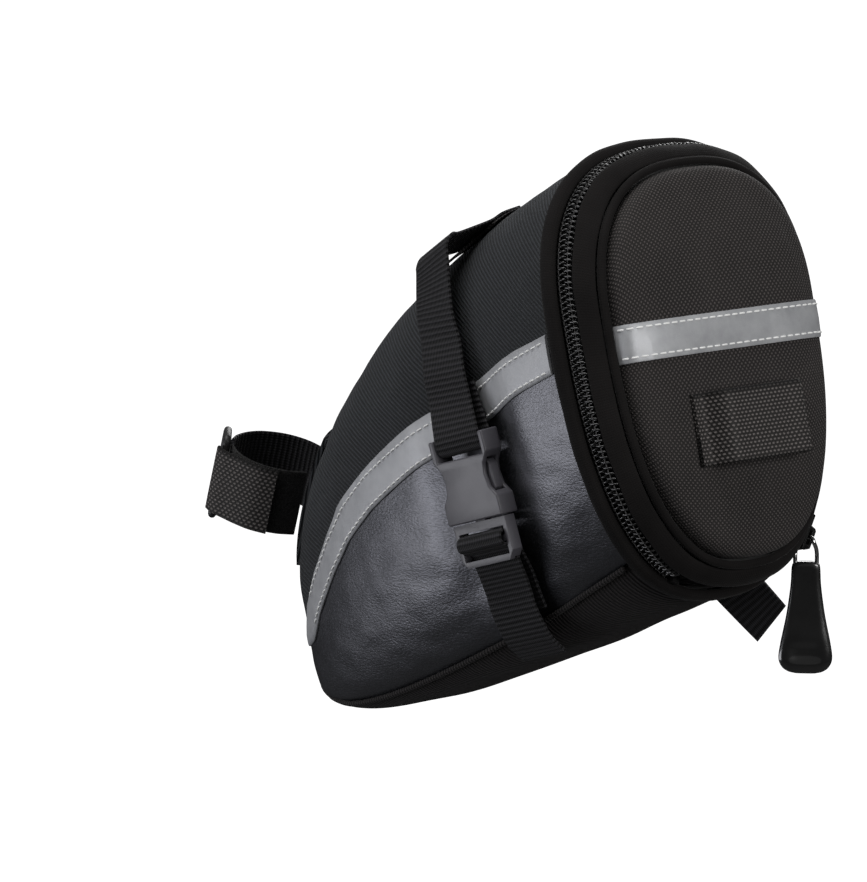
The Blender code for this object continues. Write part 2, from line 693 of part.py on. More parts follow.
def make_upper_strap(side, frame, webbing):
    """From its anchor on top of the bag, over the rail, down the side, round the buckle's bar and back up."""
    slope, yaw = math.radians(RAIL_SLOPE_DEG), math.radians(RAIL_YAW_DEG)
    rail_across = Vector((math.cos(slope) * math.cos(yaw), -math.sin(yaw), math.sin(slope) * math.cos(yaw)))
    middle = strap_x(RAIL_Z)
    u = 1.0 + middle / LENGTH
    stations = []
    for t in (1.7, 1.84, 1.98):
        across = shell_point(u + 0.03, t) - shell_point(u - 0.03, t)
        stations.append((on_shell(u, t, 1.9), across, shell_normal(u, t)))
    reach = RAIL_R + 0.9 + WEB_THICK / 2
    for turn in (75.0, 105.0, 135.0, 160.0, 180.0):
        angle = math.radians(turn)
        out = Vector((0.0, math.cos(angle), math.sin(angle)))
        stations.append((Vector((middle, -RAIL_Y, RAIL_Z)) + out * reach, rail_across, out))
    for z, lift in ((26.0, 3.4), (18.0, 2.6), (10.0, 4.0), (2.0, 4.9)):
        stations.append(strap_station(z, lift + 0.4))
    _, across, outward, up = buckle_axes()
    bar_y, bar_z = BUCKLE_LIFT + 3.1, 9.3
    stations.append((to_bag((0, bar_y + 1.95, 12.5)), across * -1.0, outward))
    for turn in (0.0, -45.0, -90.0, -135.0, -180.0):
        angle = math.radians(turn)
        out = outward * math.cos(angle) + up * math.sin(angle)
        stations.append((to_bag((0, bar_y, bar_z)) + out * 1.95, across * -1.0, out))
    stations.append((to_bag((0, bar_y - 1.95, 13.0)), across * -1.0, outward * -1.0))
    for z, lift in ((2.0, 2.55), (7.0, 2.4)):
        place, ahead, normal = strap_station(z, lift)
        stations.append((place, ahead, normal * -1.0))
    stations = [(c, a if Vector(a).x > 0 else Vector(a) * -1.0, n) for c, a, n in stations]
    points, faces = ribbon(stations, WEB, WEB_THICK)
    add_mesh(side + "_upper_strap", [flipped(p, side) for p in points], faces, webbing, frame)
    patch = []
    for t in (1.6, 1.7, 1.84, 1.98, 2.05):
        across = shell_point(u + 0.03, t) - shell_point(u - 0.03, t)
        patch.append((on_shell(u, t, 0.75), across, shell_normal(u, t)))
    points, faces = ribbon(patch, WEB + 6.0, 0.7)
    add_mesh(side + "_anchor_patch", [flipped(p, side) for p in points], faces, webbing, frame)


def make_female_buckle(side, frame, plastic):
    """Hollow half, waisted where the latch arms show, with a bar between two ears for the upper strap."""
    low, high, half = BUCKLE_LIFT, BUCKLE_LIFT + BUCKLE_THICK, BUCKLE_HALF
    right_edge = [(half, -12.0), (half, -6.4), (9.7, -3.6), (9.1, 0.0), (9.7, 3.0), (half, 6.0), (half, 12.0)]
    outline = right_edge + [(-x, z) for x, z in reversed(right_edge)]
    body = add_mesh(side + "_female_buckle", *prism(outline, low, high), plastic, frame)
    cavity = box((-10.9, low + 1.3, -13.0), (10.9, high - 1.3, 4.4))
    pocket = box((-10.4, low - 1.0, 5.7), (10.4, high + 1.0, 13.0))
    bar = box((-11.4, low + 2.2, 8.4), (11.4, low + 4.0, 10.2))
    boolean(body, add_mesh(side + "_female_cavity", *cavity, plastic, frame, smooth=False), "DIFFERENCE")
    boolean(body, add_mesh(side + "_strap_pocket", *pocket, plastic, frame, smooth=False), "DIFFERENCE")
    boolean(body, add_mesh(side + "_strap_bar", *bar, plastic, frame, smooth=False), "UNION")
    return body


def make_male_buckle(side, frame, plastic):
    """Base with a guide tongue and a two-slot ladder for the lower strap."""
    low, high, half = BUCKLE_LIFT + 1.4, BUCKLE_LIFT + 4.9, BUCKLE_HALF - 0.4
    outline = [(half, -12.4), (half, -22.0), (half - 2.2, -24.6), (2.2 - half, -24.6), (-half, -22.0),
               (-half, -12.4)]
    body = add_mesh(side + "_male_buckle", *prism(outline, low, high), plastic, frame)
    tongue = box((-2.2, low + 0.4, -13.0), (2.2, high - 0.7, 3.0))
    upper_slot = box((-10.2, low - 2.0, -17.4), (10.2, high + 2.0, -14.9))
    lower_slot = box((-10.2, low - 2.0, -22.8), (10.2, high + 2.0, -19.2))
    recess = box((-10.1, low - 2.0, -26.0), (10.1, low + 1.8, -17.0))
    boolean(body, add_mesh(side + "_tongue", *tongue, plastic, frame, smooth=False), "UNION")
    boolean(body, add_mesh(side + "_upper_slot", *upper_slot, plastic, frame, smooth=False), "DIFFERENCE")
    boolean(body, add_mesh(side + "_lower_slot", *lower_slot, plastic, frame, smooth=False), "DIFFERENCE")
    boolean(body, add_mesh(side + "_strap_recess", *recess, plastic, frame, smooth=False), "DIFFERENCE")
    return body


PRONG_ROOT = (6.6, BUCKLE_LIFT + 3.0, -12.1)


def make_prong(side, which, buckle, plastic):
    """One springy latch arm of the male half; its pad fills the window in the female half's side."""
    hand = 1.0 if (which == "rear") == (side == "right") else -1.0
    outline = [(5.2, -12.1), (8.0, -12.1), (8.2, -5.8), (10.6, -4.4), (10.6, 2.0), (9.4, 3.8), (7.8, 4.1),
               (6.2, -3.0)]
    outline = [(x * hand, z) for x, z in outline]
    root = Vector((PRONG_ROOT[0] * hand, PRONG_ROOT[1], PRONG_ROOT[2]))
    pivot = Frame(side + "_" + which + "_prong_root", buckle, root)
    points, faces = prism(outline, BUCKLE_LIFT + 1.6, BUCKLE_LIFT + 4.4)
    add_mesh(side + "_" + which + "_prong", points, faces, plastic, pivot, root)


def make_lower_strap(side, frame, webbing):
    """From the bottom seam up behind the male half's middle bar."""
    _, across, outward, _ = buckle_axes()
    stations = []
    for z, lift in ((-58.0, 1.4), (-54.5, 1.3), (-51.0, 1.5), (-47.0, 1.7)):
        place, ahead, normal = strap_station(z, lift)
        stations.append((place, ahead.normalized() - across * 0.6, normal))
    stations.append((to_bag((0, BUCKLE_LIFT + 0.6, -21.0)), across * -1.0, outward))
    stations.append((to_bag((0, BUCKLE_LIFT + 0.6, -16.6)), across * -1.0, outward))
    stations = [(c, a if Vector(a).x > 0 else Vector(a) * -1.0, n) for c, a, n in stations]
    points, faces = ribbon(stations, WEB, WEB_THICK)
    return add_mesh(side + "_lower_strap", [flipped(p, side) for p in points], faces, webbing, frame)


def make_strap_tail(side, frame, webbing):
    """From over the male half's middle bar, under its end bar and down to the hemmed end."""
    _, across, outward, up = buckle_axes()
    bar_y = BUCKLE_LIFT + 4.1
    path = [(0, bar_y - 2.0, -16.2), (0, bar_y + 0.2, -15.9), (0, bar_y + 2.1, -16.9), (0, bar_y + 2.1, -19.4),
            (0, bar_y - 1.6, -21.2), (0, bar_y - 2.2, -25.0)]
    stations = []
    for k, point in enumerate(path):
        before, after = path[max(k - 1, 0)], path[min(k + 1, len(path) - 1)]
        step = Vector(after) - Vector(before)
        normal = outward * -step.z + up * step.y
        stations.append((to_bag(point), across * -1.0, normal))
    if side == "left":
        for z, lift, shift in ((-51.0, 4.0, 0.0), (-56.0, 3.9, 0.3), (-61.0, 3.8, 0.6), (-65.0, 3.8, 1.2),
                               (-68.5, 3.6, 2.0)):
            place, _, normal = strap_station(z, lift, shift)
            stations.append((place, across * -1.0, normal))
    else:
        start = to_bag(path[-1])
        down = Vector((0.22, -0.54, -0.81)).normalized()
        for share in (0.22, 0.45, 0.72, 1.0):
            flare = (across * -1.0).lerp(Vector((0.87, 0.22, 0.43)), share)
            stations.append((start + down * (share * TAIL_RIGHT_LENGTH), flare, down.cross(flare)))
    stations = [(c, a if Vector(a).x > 0 else Vector(a) * -1.0, n) for c, a, n in stations]
    points, faces = ribbon(stations, WEB, WEB_THICK)
    return add_mesh(side + "_strap_tail", [flipped(p, side) for p in points], faces, webbing, frame)


# ---------------------------------------------------------------- seatpost strap

def post_axes():
    """Axis of the post, the direction forward from the nose to the post, and the post's centre."""
    lean = math.radians(POST_LEAN_DEG)
    axis = Vector((math.sin(lean), 0.0, math.cos(lean)))
    forward = Vector((-math.cos(lean), 0.0, math.sin(lean)))
    nose = shell_point(NOSE_STRAP_U, math.pi / 2)
    return axis, forward, nose + forward * (POST_R + 4.2)


def post_station(angle_deg, radius):
    """A place round the post: 0 faces the nose, 90 the left side, 180 the front."""
    axis, forward, centre = post_axes()
    angle = math.radians(angle_deg)
    out = forward * -math.cos(angle) + Vector((0.0, -1.0, 0.0)) * math.sin(angle)
    return centre + out * radius, axis, out


def make_seatpost_strap(frame, tail_frame, tail_pivot, webbing, plastic):
    axis = post_axes()[0]
    inner = POST_R + 0.3 + 0.6
    near = [post_station(a, inner) for a in (14, 35, 56, 76, 95, 111, 126)]
    add_mesh("seatpost_long_strap", *ribbon(near, WEB, 1.1), webbing, frame)
    far = [post_station(a, inner) for a in (-14, -35, -60, -85, -110, -135, -160, -180, -200, -216)]
    add_mesh("seatpost_short_strap", *ribbon(far, WEB, 1.1), webbing, frame)
    turns = (1.0, 1.28, 1.57, 1.86, 2.14)
    pad = [(on_shell(NOSE_STRAP_U, t, 1.9), axis, shell_normal(NOSE_STRAP_U, t)) for t in turns]
    add_mesh("nose_patch", *ribbon(pad, WEB + 6.0, 1.4), webbing, frame)
    outer = [post_station(a, r) for a, r in ((118, 19.2), (108, 18.6), (96, 17.2), (82, 16.6), (64, 16.6), (46, 16.6))]
    add_mesh("seatpost_strap_tail", *ribbon(outer, WEB, 1.1), webbing, tail_frame, tail_pivot)
    middle, _, out = post_station(133, 16.6)
    along = axis.cross(out)
    corners = [(-12.0, -4.2), (-12.0, 4.2), (12.0, 4.2), (12.0, -4.2)]
    path = []
    for k, (p, q) in enumerate(corners):
        after = corners[(k + 1) % 4]
        for share in (0.1, 0.5, 0.9):
            high, wide = p + (after[0] - p) * share, q + (after[1] - q) * share
            path.append(middle + axis * high + along * wide)
    add_mesh("seatpost_ring", *tube(path, 1.2, 6, True), plastic, frame)


# ---------------------------------------------------------------- assembly

def clear_scene():
    for old in list(bpy.data.objects):
        bpy.data.objects.remove(old, do_unlink=True)


def bag_frame():
    tilt = Matrix.Rotation(-math.radians(TILT_DEG), 3, "Y")
    return Frame("bag", None, -(tilt @ Vector((strap_x(RAIL_Z), 0.0, RAIL_Z))), tilt)


def main():
    clear_scene()
    twill = material("twill", (0.028, 0.029, 0.033), 0.8)
    leather = material("synthetic_leather", (0.02, 0.021, 0.024), 0.42)
    ribbed = material("ribbed_cloth", (0.022, 0.021, 0.023), 0.85)
    velour = material("binding_cloth", (0.012, 0.012, 0.013), 0.9)
    nylon = material("dot_nylon", (0.035, 0.031, 0.029), 0.75)
    webbing = material("webbing", (0.02, 0.02, 0.021), 0.7)
    silver = material("reflective_tape", (0.46, 0.47, 0.48), 0.35)
    foam = material("foam", (0.1, 0.1, 0.1), 0.95)
    board = material("board", (0.06, 0.06, 0.06), 0.5)
    lining = material("lining_cloth", (0.05, 0.05, 0.055), 0.8)
    tape = material("zipper_tape", (0.012, 0.012, 0.012), 0.85)
    coil = material("zipper_coil", (0.015, 0.015, 0.015), 0.25)
    plastic = material("buckle_plastic", (0.02, 0.02, 0.021), 0.4)
    gloss = material("puller_plastic", (0.01, 0.01, 0.01), 0.12)
    steel = material("steel_wire", (0.55, 0.55, 0.55), 0.22, 1.0)
    metal = material("black_metal", (0.02, 0.02, 0.02), 0.3, 0.6)

    bag = bag_frame()
    make_upper_panel(bag, twill)
    make_bottom_panel(bag, ribbed)
    make_pads(bag, foam, board)
    make_lining(bag, lining)
    make_opening(bag, velour, tape, coil, metal)
    for side in ("left", "right"):
        make_lower_panel(side, bag, leather)
        make_side_tape(side, bag, silver)
        make_seam_welt(side, bag, velour)
        make_upper_strap(side, bag, webbing)
        buckle = buckle_frame(side, bag)
        make_female_buckle(side, buckle, plastic)
        make_male_buckle(side, buckle, plastic)
        make_prong(side, "front", buckle, plastic)
        make_prong(side, "rear", buckle, plastic)
        make_lower_strap(side, bag, webbing)
        make_strap_tail(side, bag, webbing)

    hinge_place = Vector((CHAIN_X, 0.0, HINGE_Z))
    lid = Frame("lid_hinge", bag, hinge_place)
    make_lid(lid, hinge_place, velour, tape, coil, velour, nylon, foam, board, lining)
    make_lid_trim(lid, hinge_place, silver, webbing)

    arc, centre, radius, outward = slider_frame(bag)
    make_slider(arc, radius, metal)
    wire_place = centre + outward * (radius + 3.6)
    hang = Matrix.Rotation(math.radians(TILT_DEG), 3, "Y")
    puller = Frame("puller_pivot", bag, wire_place, hang)
    make_puller(puller, steel, gloss)

    tail_place = post_station(118, 17.1)[0]
    tail = Frame("seatpost_tail_pivot", bag, tail_place)
    make_seatpost_strap(bag, tail, tail_place, webbing, plastic)


main()
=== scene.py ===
"""Looks of the saddle bag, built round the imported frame.

Shapes are worked out in the bag frame, in millimetres: x along the bag's own axis (rearward), y to the bike's
right, z up, with the origin in the middle of the rear opening. to_world() carries them into the row frame.
"""
import json
from math import asin, atan2, copysign, cos, exp, hypot, pi, radians, sin, sqrt

import bmesh
import bpy
import numpy as np
from mathutils import Matrix, Vector, noise


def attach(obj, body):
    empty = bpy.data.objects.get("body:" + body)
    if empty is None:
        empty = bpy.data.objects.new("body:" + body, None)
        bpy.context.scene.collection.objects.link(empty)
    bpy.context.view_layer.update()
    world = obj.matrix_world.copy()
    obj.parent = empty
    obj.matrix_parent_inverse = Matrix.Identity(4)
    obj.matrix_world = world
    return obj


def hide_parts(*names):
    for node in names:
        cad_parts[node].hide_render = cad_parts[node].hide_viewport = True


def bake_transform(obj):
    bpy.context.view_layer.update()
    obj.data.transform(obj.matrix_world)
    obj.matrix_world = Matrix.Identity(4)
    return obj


MM = 0.001

# ---- driving dimensions, as in the CAD model

LENGTH, HEIGHT, WIDTH = 164.3, 125.0, 92.4
TILT_DEG = 13.6
NOSE_HALF_WIDTH, NOSE_TOP = 12.7, 21.1
NOSE_ROUNDING_BELOW, NOSE_ROUNDING_SIDES = 4.4, 4.61
SIDE_FULLNESS = 0.651
BOTTOM_RISE = 0.163
TOP_FULLNESS = (1.02, 1.626)
TOP_CROWN, TOP_WAVE, BELLY = 7.5, 1.9, 1.1
WIDEST_AT = 0.63
SQUARENESS_ABOVE, SQUARENESS_BELOW = (2.36, 2.5), (3.15, 2.5)
SEAM_ANGLES = (pi + 1.17, pi + 0.95)
STRAP_LINE = ((-70.0, -44.0, -20.0, 17.0, 40.0), (-48.5, -45.0, -44.2, -48.5, -51.0))
STRAP_DENT, STRAP_DENT_HALF_LENGTH = 4.5, 20.0
STRAP_DENT_HEIGHTS = (-74.0, -50.0, -10.0, 32.0)
TAPE_U = (0.0, 0.13, 0.22, 0.3, 0.4, 0.6, 0.8, 0.9, 1.0)
TAPE_T = (3.4, 3.25, 3.205, 3.18, 3.173, 3.178, 3.183, 3.185, 3.195)
TAPE_WIDTH, TAPE_STITCH_INSET = 10.5, 1.3
TAPE_STITCH = (2.9, 2.2, 0.27)
PANEL = 1.0

BINDING_END = 4.2
CHAIN_X, CHAIN_INSET, COIL_GAP = 7.4, 1.6, 1.4
STRIP_START = 10.7
PIPING_X, PIPING_INSET, PIPING_R = 16.0, 6.7, 1.25
FACE_X, FACE_INSET, FACE_SWELL = 16.6, 8.4, 8.0
SIDE_BULGE, SIDE_SHARE = 0.03, 0.14
LOOP_Z, LOOP_HALF = -18.0, 21.2
LID_TAPE_Z = 8.1
HINGE_Z = -63.4
CHAIN_LEFT_END = 4.3
SLIDER_T = 2.0 * pi - 0.938
PULLER_TURN_DEG = 40.0

WEB, WEB_THICK = 20.0, 1.1
RAIL_Y, RAIL_Z, RAIL_R = 31.5, 40.5, 3.5
RAIL_SLOPE_DEG, RAIL_YAW_DEG = 14.0, 14.0
TAIL_RIGHT_LENGTH = 36.0
BUCKLE_Z, BUCKLE_LIFT, BUCKLE_TWIST_DEG = -19.3, 2.5, 1.5
POST_R, POST_LEAN_DEG = 14.0, 30.0
NOSE_STRAP_U = 0.065

# ---- the frame

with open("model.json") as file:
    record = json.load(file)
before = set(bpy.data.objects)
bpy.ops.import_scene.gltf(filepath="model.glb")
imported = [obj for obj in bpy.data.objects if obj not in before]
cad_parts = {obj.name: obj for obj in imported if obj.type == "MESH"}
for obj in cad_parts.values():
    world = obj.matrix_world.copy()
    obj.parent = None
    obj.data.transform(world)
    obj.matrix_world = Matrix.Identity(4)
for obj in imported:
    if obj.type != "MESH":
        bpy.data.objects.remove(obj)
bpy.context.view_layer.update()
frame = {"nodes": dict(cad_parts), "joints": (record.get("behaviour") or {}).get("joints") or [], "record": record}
JOINTS = {joint["name"]: joint for joint in frame["joints"]}
SLOTS = {part["node"]: part["material_slot"] for part in frame["record"]["subparts"]}
TILT = Matrix.Rotation(-radians(TILT_DEG), 3, "Y")
HINGE_WORLD = Vector(JOINTS["lid_hinge"]["pos_m"])
BAG_ORIGIN = HINGE_WORLD - TILT @ Vector((CHAIN_X, 0.0, HINGE_Z)) * MM
BAG = Matrix.Translation(BAG_ORIGIN) @ TILT.to_4x4() @ Matrix.Scale(MM, 4)


def to_world(point):
    return BAG @ Vector(point)


# ---- the bag's outer form

def power(value, exponent):
    return copysign(abs(value) ** exponent, value)


def section_sizes(u):
    """Top, bottom, half width and widest height of the cross-section at u, 0 at the nose to 1 at the opening."""
    first, second = TOP_FULLNESS
    top = NOSE_TOP + (HEIGHT - NOSE_TOP) * (1.0 - (1.0 - u) ** first) ** (1.0 / second)
    low = NOSE_TOP * (1.0 - sqrt(1.0 - (1.0 - u) ** NOSE_ROUNDING_BELOW)) + BOTTOM_RISE * (u - 1.0) * LENGTH
    half = NOSE_HALF_WIDTH + (WIDTH / 2 - NOSE_HALF_WIDTH) * u ** SIDE_FULLNESS
    half *= sqrt(1.0 - (1.0 - u) ** NOSE_ROUNDING_SIDES)
    low = min(low, top) - BELLY * sin(pi * u ** 1.6)
    turn = pi * u ** 0.6
    top += TOP_CROWN * sin(turn) - TOP_WAVE * sin(2.0 * turn)
    return top, low, half, low + WIDEST_AT * (top - low)


def squareness(u, above):
    nose, rear = SQUARENESS_ABOVE if above else SQUARENESS_BELOW
    return nose + (rear - nose) * u ** 2


def seam_angle(u):
    """Where the lower side panels meet the bottom panel."""
    nose, rear = SEAM_ANGLES
    return nose + (rear - nose) * u


def strap_x(z):
    """The line of the rail straps down the sides."""
    return float(np.interp(z, *STRAP_LINE))


def strap_dent(x, z):
    """How far the tight rail straps press the sides in."""
    away = (x - strap_x(z)) / STRAP_DENT_HALF_LENGTH
    return STRAP_DENT * exp(-away ** 4) * float(np.interp(z, STRAP_DENT_HEIGHTS, (0.0, 1.0, 1.0, 0.0)))


def shell_point(u, t):
    """A point of the outer form; t turns from the right side (0) over the top to the left (pi) and under."""
    top, low, half, widest = section_sizes(u)
    sine, cosine = sin(t), cos(t)
    root = 2.0 / squareness(u, sine >= 0.0)
    reach = top - widest if sine >= 0.0 else widest - low
    x = LENGTH * (u - 1.0)
    y = half * power(cosine, root)
    z = widest + reach * power(sine, root) - HEIGHT / 2
    y *= 1.0 - strap_dent(x, z) / half if half > STRAP_DENT else 1.0
    return Vector((x, y, z))


def shell_normal(u, t):
    step = 0.003
    if u < 0.004:
        return Vector((-1.0, 0.0, 0.0))
    ahead = min(u + step, 1.0)
    along = shell_point(ahead, t) - shell_point(ahead - 2.0 * step if u > step else u, t)
    around = shell_point(u, t + 0.02) - shell_point(u, t - 0.02)
    normal = along.cross(around).normalized()
    outward = Vector((0.0, cos(t), sin(t)))
    return normal if normal.dot(outward) > 0.0 else -normal


def on_shell(u, t, lift):
    return shell_point(u, t) + shell_normal(u, t) * lift


def side_angle(u, z):
    """The angle t of the left side's point at height z."""
    top, low, _, widest = section_sizes(u)
    height = z + HEIGHT / 2 - widest
    above = height >= 0.0
    share = min(abs(height) / (top - widest if above else widest - low), 1.0)
    lean = asin(share ** (squareness(u, above) / 2.0))
    return pi - lean if above else pi + lean


def opening_point(t, x, inset):
    """A point on the rear opening's outline, shrunk by inset and moved back by x."""
    rim = shell_point(1.0, t)
    return Vector((x, rim.y * (1.0 - 2.0 * inset / WIDTH), rim.z * (1.0 - 2.0 * inset / HEIGHT)))


def tape_angle(u):
    """Where the upper and lower side panels meet."""
    return float(np.interp(u, TAPE_U, TAPE_T))


def flipped(vector, side):
    return Vector((vector.x, -vector.y if side == "right" else vector.y, vector.z))


def ripple(point, size, height, seed=0.0):
    """A gentle unevenness of cloth: height times noise with lumps about size across."""
    return height * noise.noise(Vector((point.x / size + seed, point.y / size, point.z / size)))


# ---- meshes

def run_lengths(path):
    """The distance along a path at each of its points."""
    runs = [0.0]
    for before, after in zip(path, path[1:]):
        runs.append(runs[-1] + (Vector(after) - Vector(before)).length)
    return runs


def directions(path):
    """From the point before to the point after, at each point of a path."""
    return [Vector(b) - Vector(a) for a, b in zip([path[0], *path[:-1]], [*path[1:], path[-1]])]


def circle(count):
    return [2.0 * pi * k / count for k in range(count)]


class Skin:
    """A mesh made of grids, each with its own UV map in metres of real cloth."""

    def __init__(self):
        self.points = []
        self.faces = []
        self.uvs = []

    def grid(self, rows, wrap=False):
        """Adds rows of points; UV u runs along the rows' succession and v along each row. Returns the indices."""
        count, size = len(rows), len(rows[0])
        start = len(self.points)
        self.points += [Vector(p) for row in rows for p in row]
        along = run_lengths([row[size // 2] for row in rows])
        around = []
        for row in rows:
            run = run_lengths(list(row) + ([row[0]] if wrap else []))
            around.append([value - run[-1] / 2 for value in run])
        last = size if wrap else size - 1
        for row in range(count - 1):
            for column in range(last):
                after = (column + 1) % size
                cells = [(row, column, column), (row, after, column + 1), (row + 1, after, column + 1),
                         (row + 1, column, column)]
                self.faces.append([start + r * size + c for r, c, _ in cells])
                self.uvs.append([(along[r] * MM, around[r][k] * MM) for r, _, k in cells])
        return [[start + r * size + c for c in range(size)] for r in range(count)]

    def face(self, indices):
        self.faces.append(list(indices))
        self.uvs.append([(self.points[i].x * MM, self.points[i].z * MM) for i in indices])

    def strip(self, first, second, wrap=False):
        """Joins two rows of indices by quads."""
        last = len(first) if wrap else len(first) - 1
        for k in range(last):
            after = (k + 1) % len(first)
            self.face((first[k], first[after], second[after], second[k]))

    def join(self, more):
        start = len(self.points)
        self.points += more.points
        self.faces += [[i + start for i in face] for face in more.faces]
        self.uvs += more.uvs

    def stand_for(self, node, finish, body="bag", paint=None, sharp_deg=40.0):
        """Makes the visual piece of a CAD node, in its slot's paint unless another is given."""
        return self.make(node + "_" + finish, body, SLOTS[node], node, paint, sharp_deg)

    def make(self, name, body, slot, node=None, paint=None, sharp_deg=40.0):
        mesh = bpy.data.meshes.new(name)
        mesh.from_pydata([to_world(p) for p in self.points], [], self.faces)
        layer = mesh.uv_layers.new(name="cloth")
        layer.data.foreach_set("uv", np.array([uv for face in self.uvs for uv in face], np.float32).ravel())
        shape = bmesh.new()
        shape.from_mesh(mesh)
        bmesh.ops.remove_doubles(shape, verts=shape.verts, dist=0.000004)
        bmesh.ops.recalc_face_normals(shape, faces=shape.faces)
        shape.to_mesh(mesh)
        shape.free()
        mesh.shade_smooth()
        if sharp_deg:
            mesh.set_sharp_from_angle(angle=radians(sharp_deg))
        return place(name, mesh, body, slot, node, paint)


def place(name, mesh, body, slot, node, paint=None):
    """Links a mesh that is in the row frame, lets it ride on its body, if any, and hides the node it stands for."""
    mesh.materials.clear()
    mesh.materials.append(paint or PAINTS[slot])
    made = link(name, mesh)
    if body:
        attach(made, body)
    if node:
        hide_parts(node)
    return made


def link(name, data):
    made = bpy.data.objects.new(name, data)
    bpy.context.scene.collection.objects.link(made)
    return made


def closed_sheet(outer, inner):
    """A skin between two open grids."""
    skin = Skin()
    top = skin.grid(outer)
    low = skin.grid(inner)
    skin.strip(top[0], low[0])
    skin.strip(top[-1], low[-1])
    skin.strip([row[0] for row in top], [row[0] for row in low])
    skin.strip([row[-1] for row in top], [row[-1] for row in low])
    return skin


def swept(sections, closed=False):
    """A skin of closed sections; closed joins the last one to the first."""
    skin = Skin()
    rows = list(sections) + ([sections[0]] if closed else [])
    rings = skin.grid(rows, wrap=True)
    if not closed:
        skin.face(rings[0])
        skin.face(rings[-1])
    return skin


def smooth_path(points, steps):
    """Points of a Catmull-Rom curve through the given ones, each a tuple of equally long vectors."""
    rows = [[Vector(part) for part in point] for point in points]
    rows = [[2.0 * a - b for a, b in zip(rows[0], rows[1])]] + rows + \
           [[2.0 * a - b for a, b in zip(rows[-1], rows[-2])]]
    found = []
    for k in range(1, len(rows) - 2):
        for step in range(steps):
            s = step / steps
            found.append([catmull(*parts, s) for parts in zip(rows[k - 1], rows[k], rows[k + 1], rows[k + 2])])
    found.append(rows[-2])
    return found


def catmull(a, b, c, d, s):
    return 0.5 * (2.0 * b + (c - a) * s + (2.0 * a - 5.0 * b + 4.0 * c - d) * s * s
                  + (3.0 * b - a - 3.0 * c + d) * s * s * s)


def tube(path, radius, sides=10, closed=False):
    steps = directions([path[-1], *path, path[0]])[1:-1] if closed else directions(path)
    steps = [step.normalized() for step in steps]
    normal = steps[0].orthogonal().normalized()
    sections = []
    for point, step in zip(path, steps):
        normal = (normal - step * normal.dot(step)).normalized()
        other = step.cross(normal)
        sections.append([point + (normal * cos(a) + other * sin(a)) * radius for a in circle(sides)])
    return swept(sections, closed)


FACE_MIDDLE_V = 0.01065
WEB_SECTION = ((-0.5, 0.0), (-0.49, 0.36), (-0.465, 0.5), (-0.44, 0.46), (-0.3, 0.5), (-0.1, 0.5), (0.1, 0.5),
               (0.3, 0.5), (0.44, 0.46), (0.465, 0.5), (0.49, 0.36), (0.5, 0.0))


def webbing(stations, width=WEB, thick=WEB_THICK, steps=6):
    """Webbing with rounded selvedges through stations of (centre, across, normal), smoothly joined."""
    outline = list(WEB_SECTION) + [(a, -b) for a, b in WEB_SECTION[-2:0:-1]]
    unit = [(Vector(centre), Vector(across).normalized(), Vector(normal).normalized())
            for centre, across, normal in stations]
    sections = []
    for centre, across, normal in smooth_path(unit, steps):
        side = across.normalized()
        lift = (normal - side * normal.dot(side)).normalized()
        sections.append([centre + side * (a * width) + lift * (b * thick) for a, b in outline])
    return swept(sections)


def side_webbing(side, stations, *size):
    """Webbing on one side, from stations worked out for the left."""
    return webbing([[flipped(Vector(part), side) for part in station] for station in stations], *size)


def thread(path, normals, pitch, length, radius):
    """Stitches of sewing thread that follow a path, each a small dash sunk at both ends."""
    runs = run_lengths(path)
    skin = Skin()
    middle = pitch / 2
    while middle + length / 2 < runs[-1]:
        sections = []
        for share, rise in ((-0.5, -0.6), (-0.34, 0.25), (0.0, 0.55), (0.34, 0.25), (0.5, -0.6)):
            run = middle + share * length
            k = min(int(np.searchsorted(runs, run)), len(runs) - 1)
            s = (run - runs[k - 1]) / (runs[k] - runs[k - 1])
            centre = path[k - 1].lerp(path[k], s)
            normal = normals[k - 1].lerp(normals[k], s).normalized()
            along = (path[k] - path[k - 1]).normalized()
            side = along.cross(normal)
            size = radius * (0.55 if abs(share) == 0.5 else 1.0)
            sections.append([centre + normal * (radius * rise) + (side * cos(a) + normal * sin(a)) * size
                             for a in circle(6)])
        skin.join(swept(sections))
        middle += pitch
    return skin


def rounded(node, finish, body, width_mm):
    """The CAD node with its moulded edges rounded."""
    shape = bmesh.new()
    shape.from_mesh(frame["nodes"][node].data)
    bmesh.ops.remove_doubles(shape, verts=shape.verts, dist=0.00001)
    bmesh.ops.dissolve_limit(shape, angle_limit=radians(1.0), verts=shape.verts, edges=shape.edges)
    edges = [e for e in shape.edges if len(e.link_faces) == 2 and e.calc_face_angle() > radians(35.0)]
    bmesh.ops.bevel(shape, geom=edges, offset=width_mm * MM, segments=2, affect="EDGES", profile=0.6,
                    clamp_overlap=True)
    bmesh.ops.recalc_face_normals(shape, faces=shape.faces)
    mesh = bpy.data.meshes.new(node + "_" + finish)
    shape.to_mesh(mesh)
    shape.free()
    mesh.shade_smooth()
    mesh.set_sharp_from_angle(angle=radians(50.0))
    return place(mesh.name, mesh, body, SLOTS[node], node)


# ---- materials

class Value:
    """Something that varies over a surface; arithmetic on it adds math nodes to its paint."""

    def __init__(self, paint, socket):
        self.paint, self.socket = paint, socket

    def math(self, operation, *others):
        return self.paint.node("Math", 0, enumerate((self, *others)), operation=operation)

    def wave(self, pitch):
        """A smooth wave from 0 to 1 with one crest every pitch metres."""
        return (self * (2.0 * pi / pitch)).math("SINE").math("MULTIPLY_ADD", 0.5, 0.5)

    def ramp(self, low, high):
        """Stretched so that low becomes 0 and high becomes 1."""
        return self.paint.node("MapRange", "Result", {"Value": self, "From Min": low, "From Max": high})


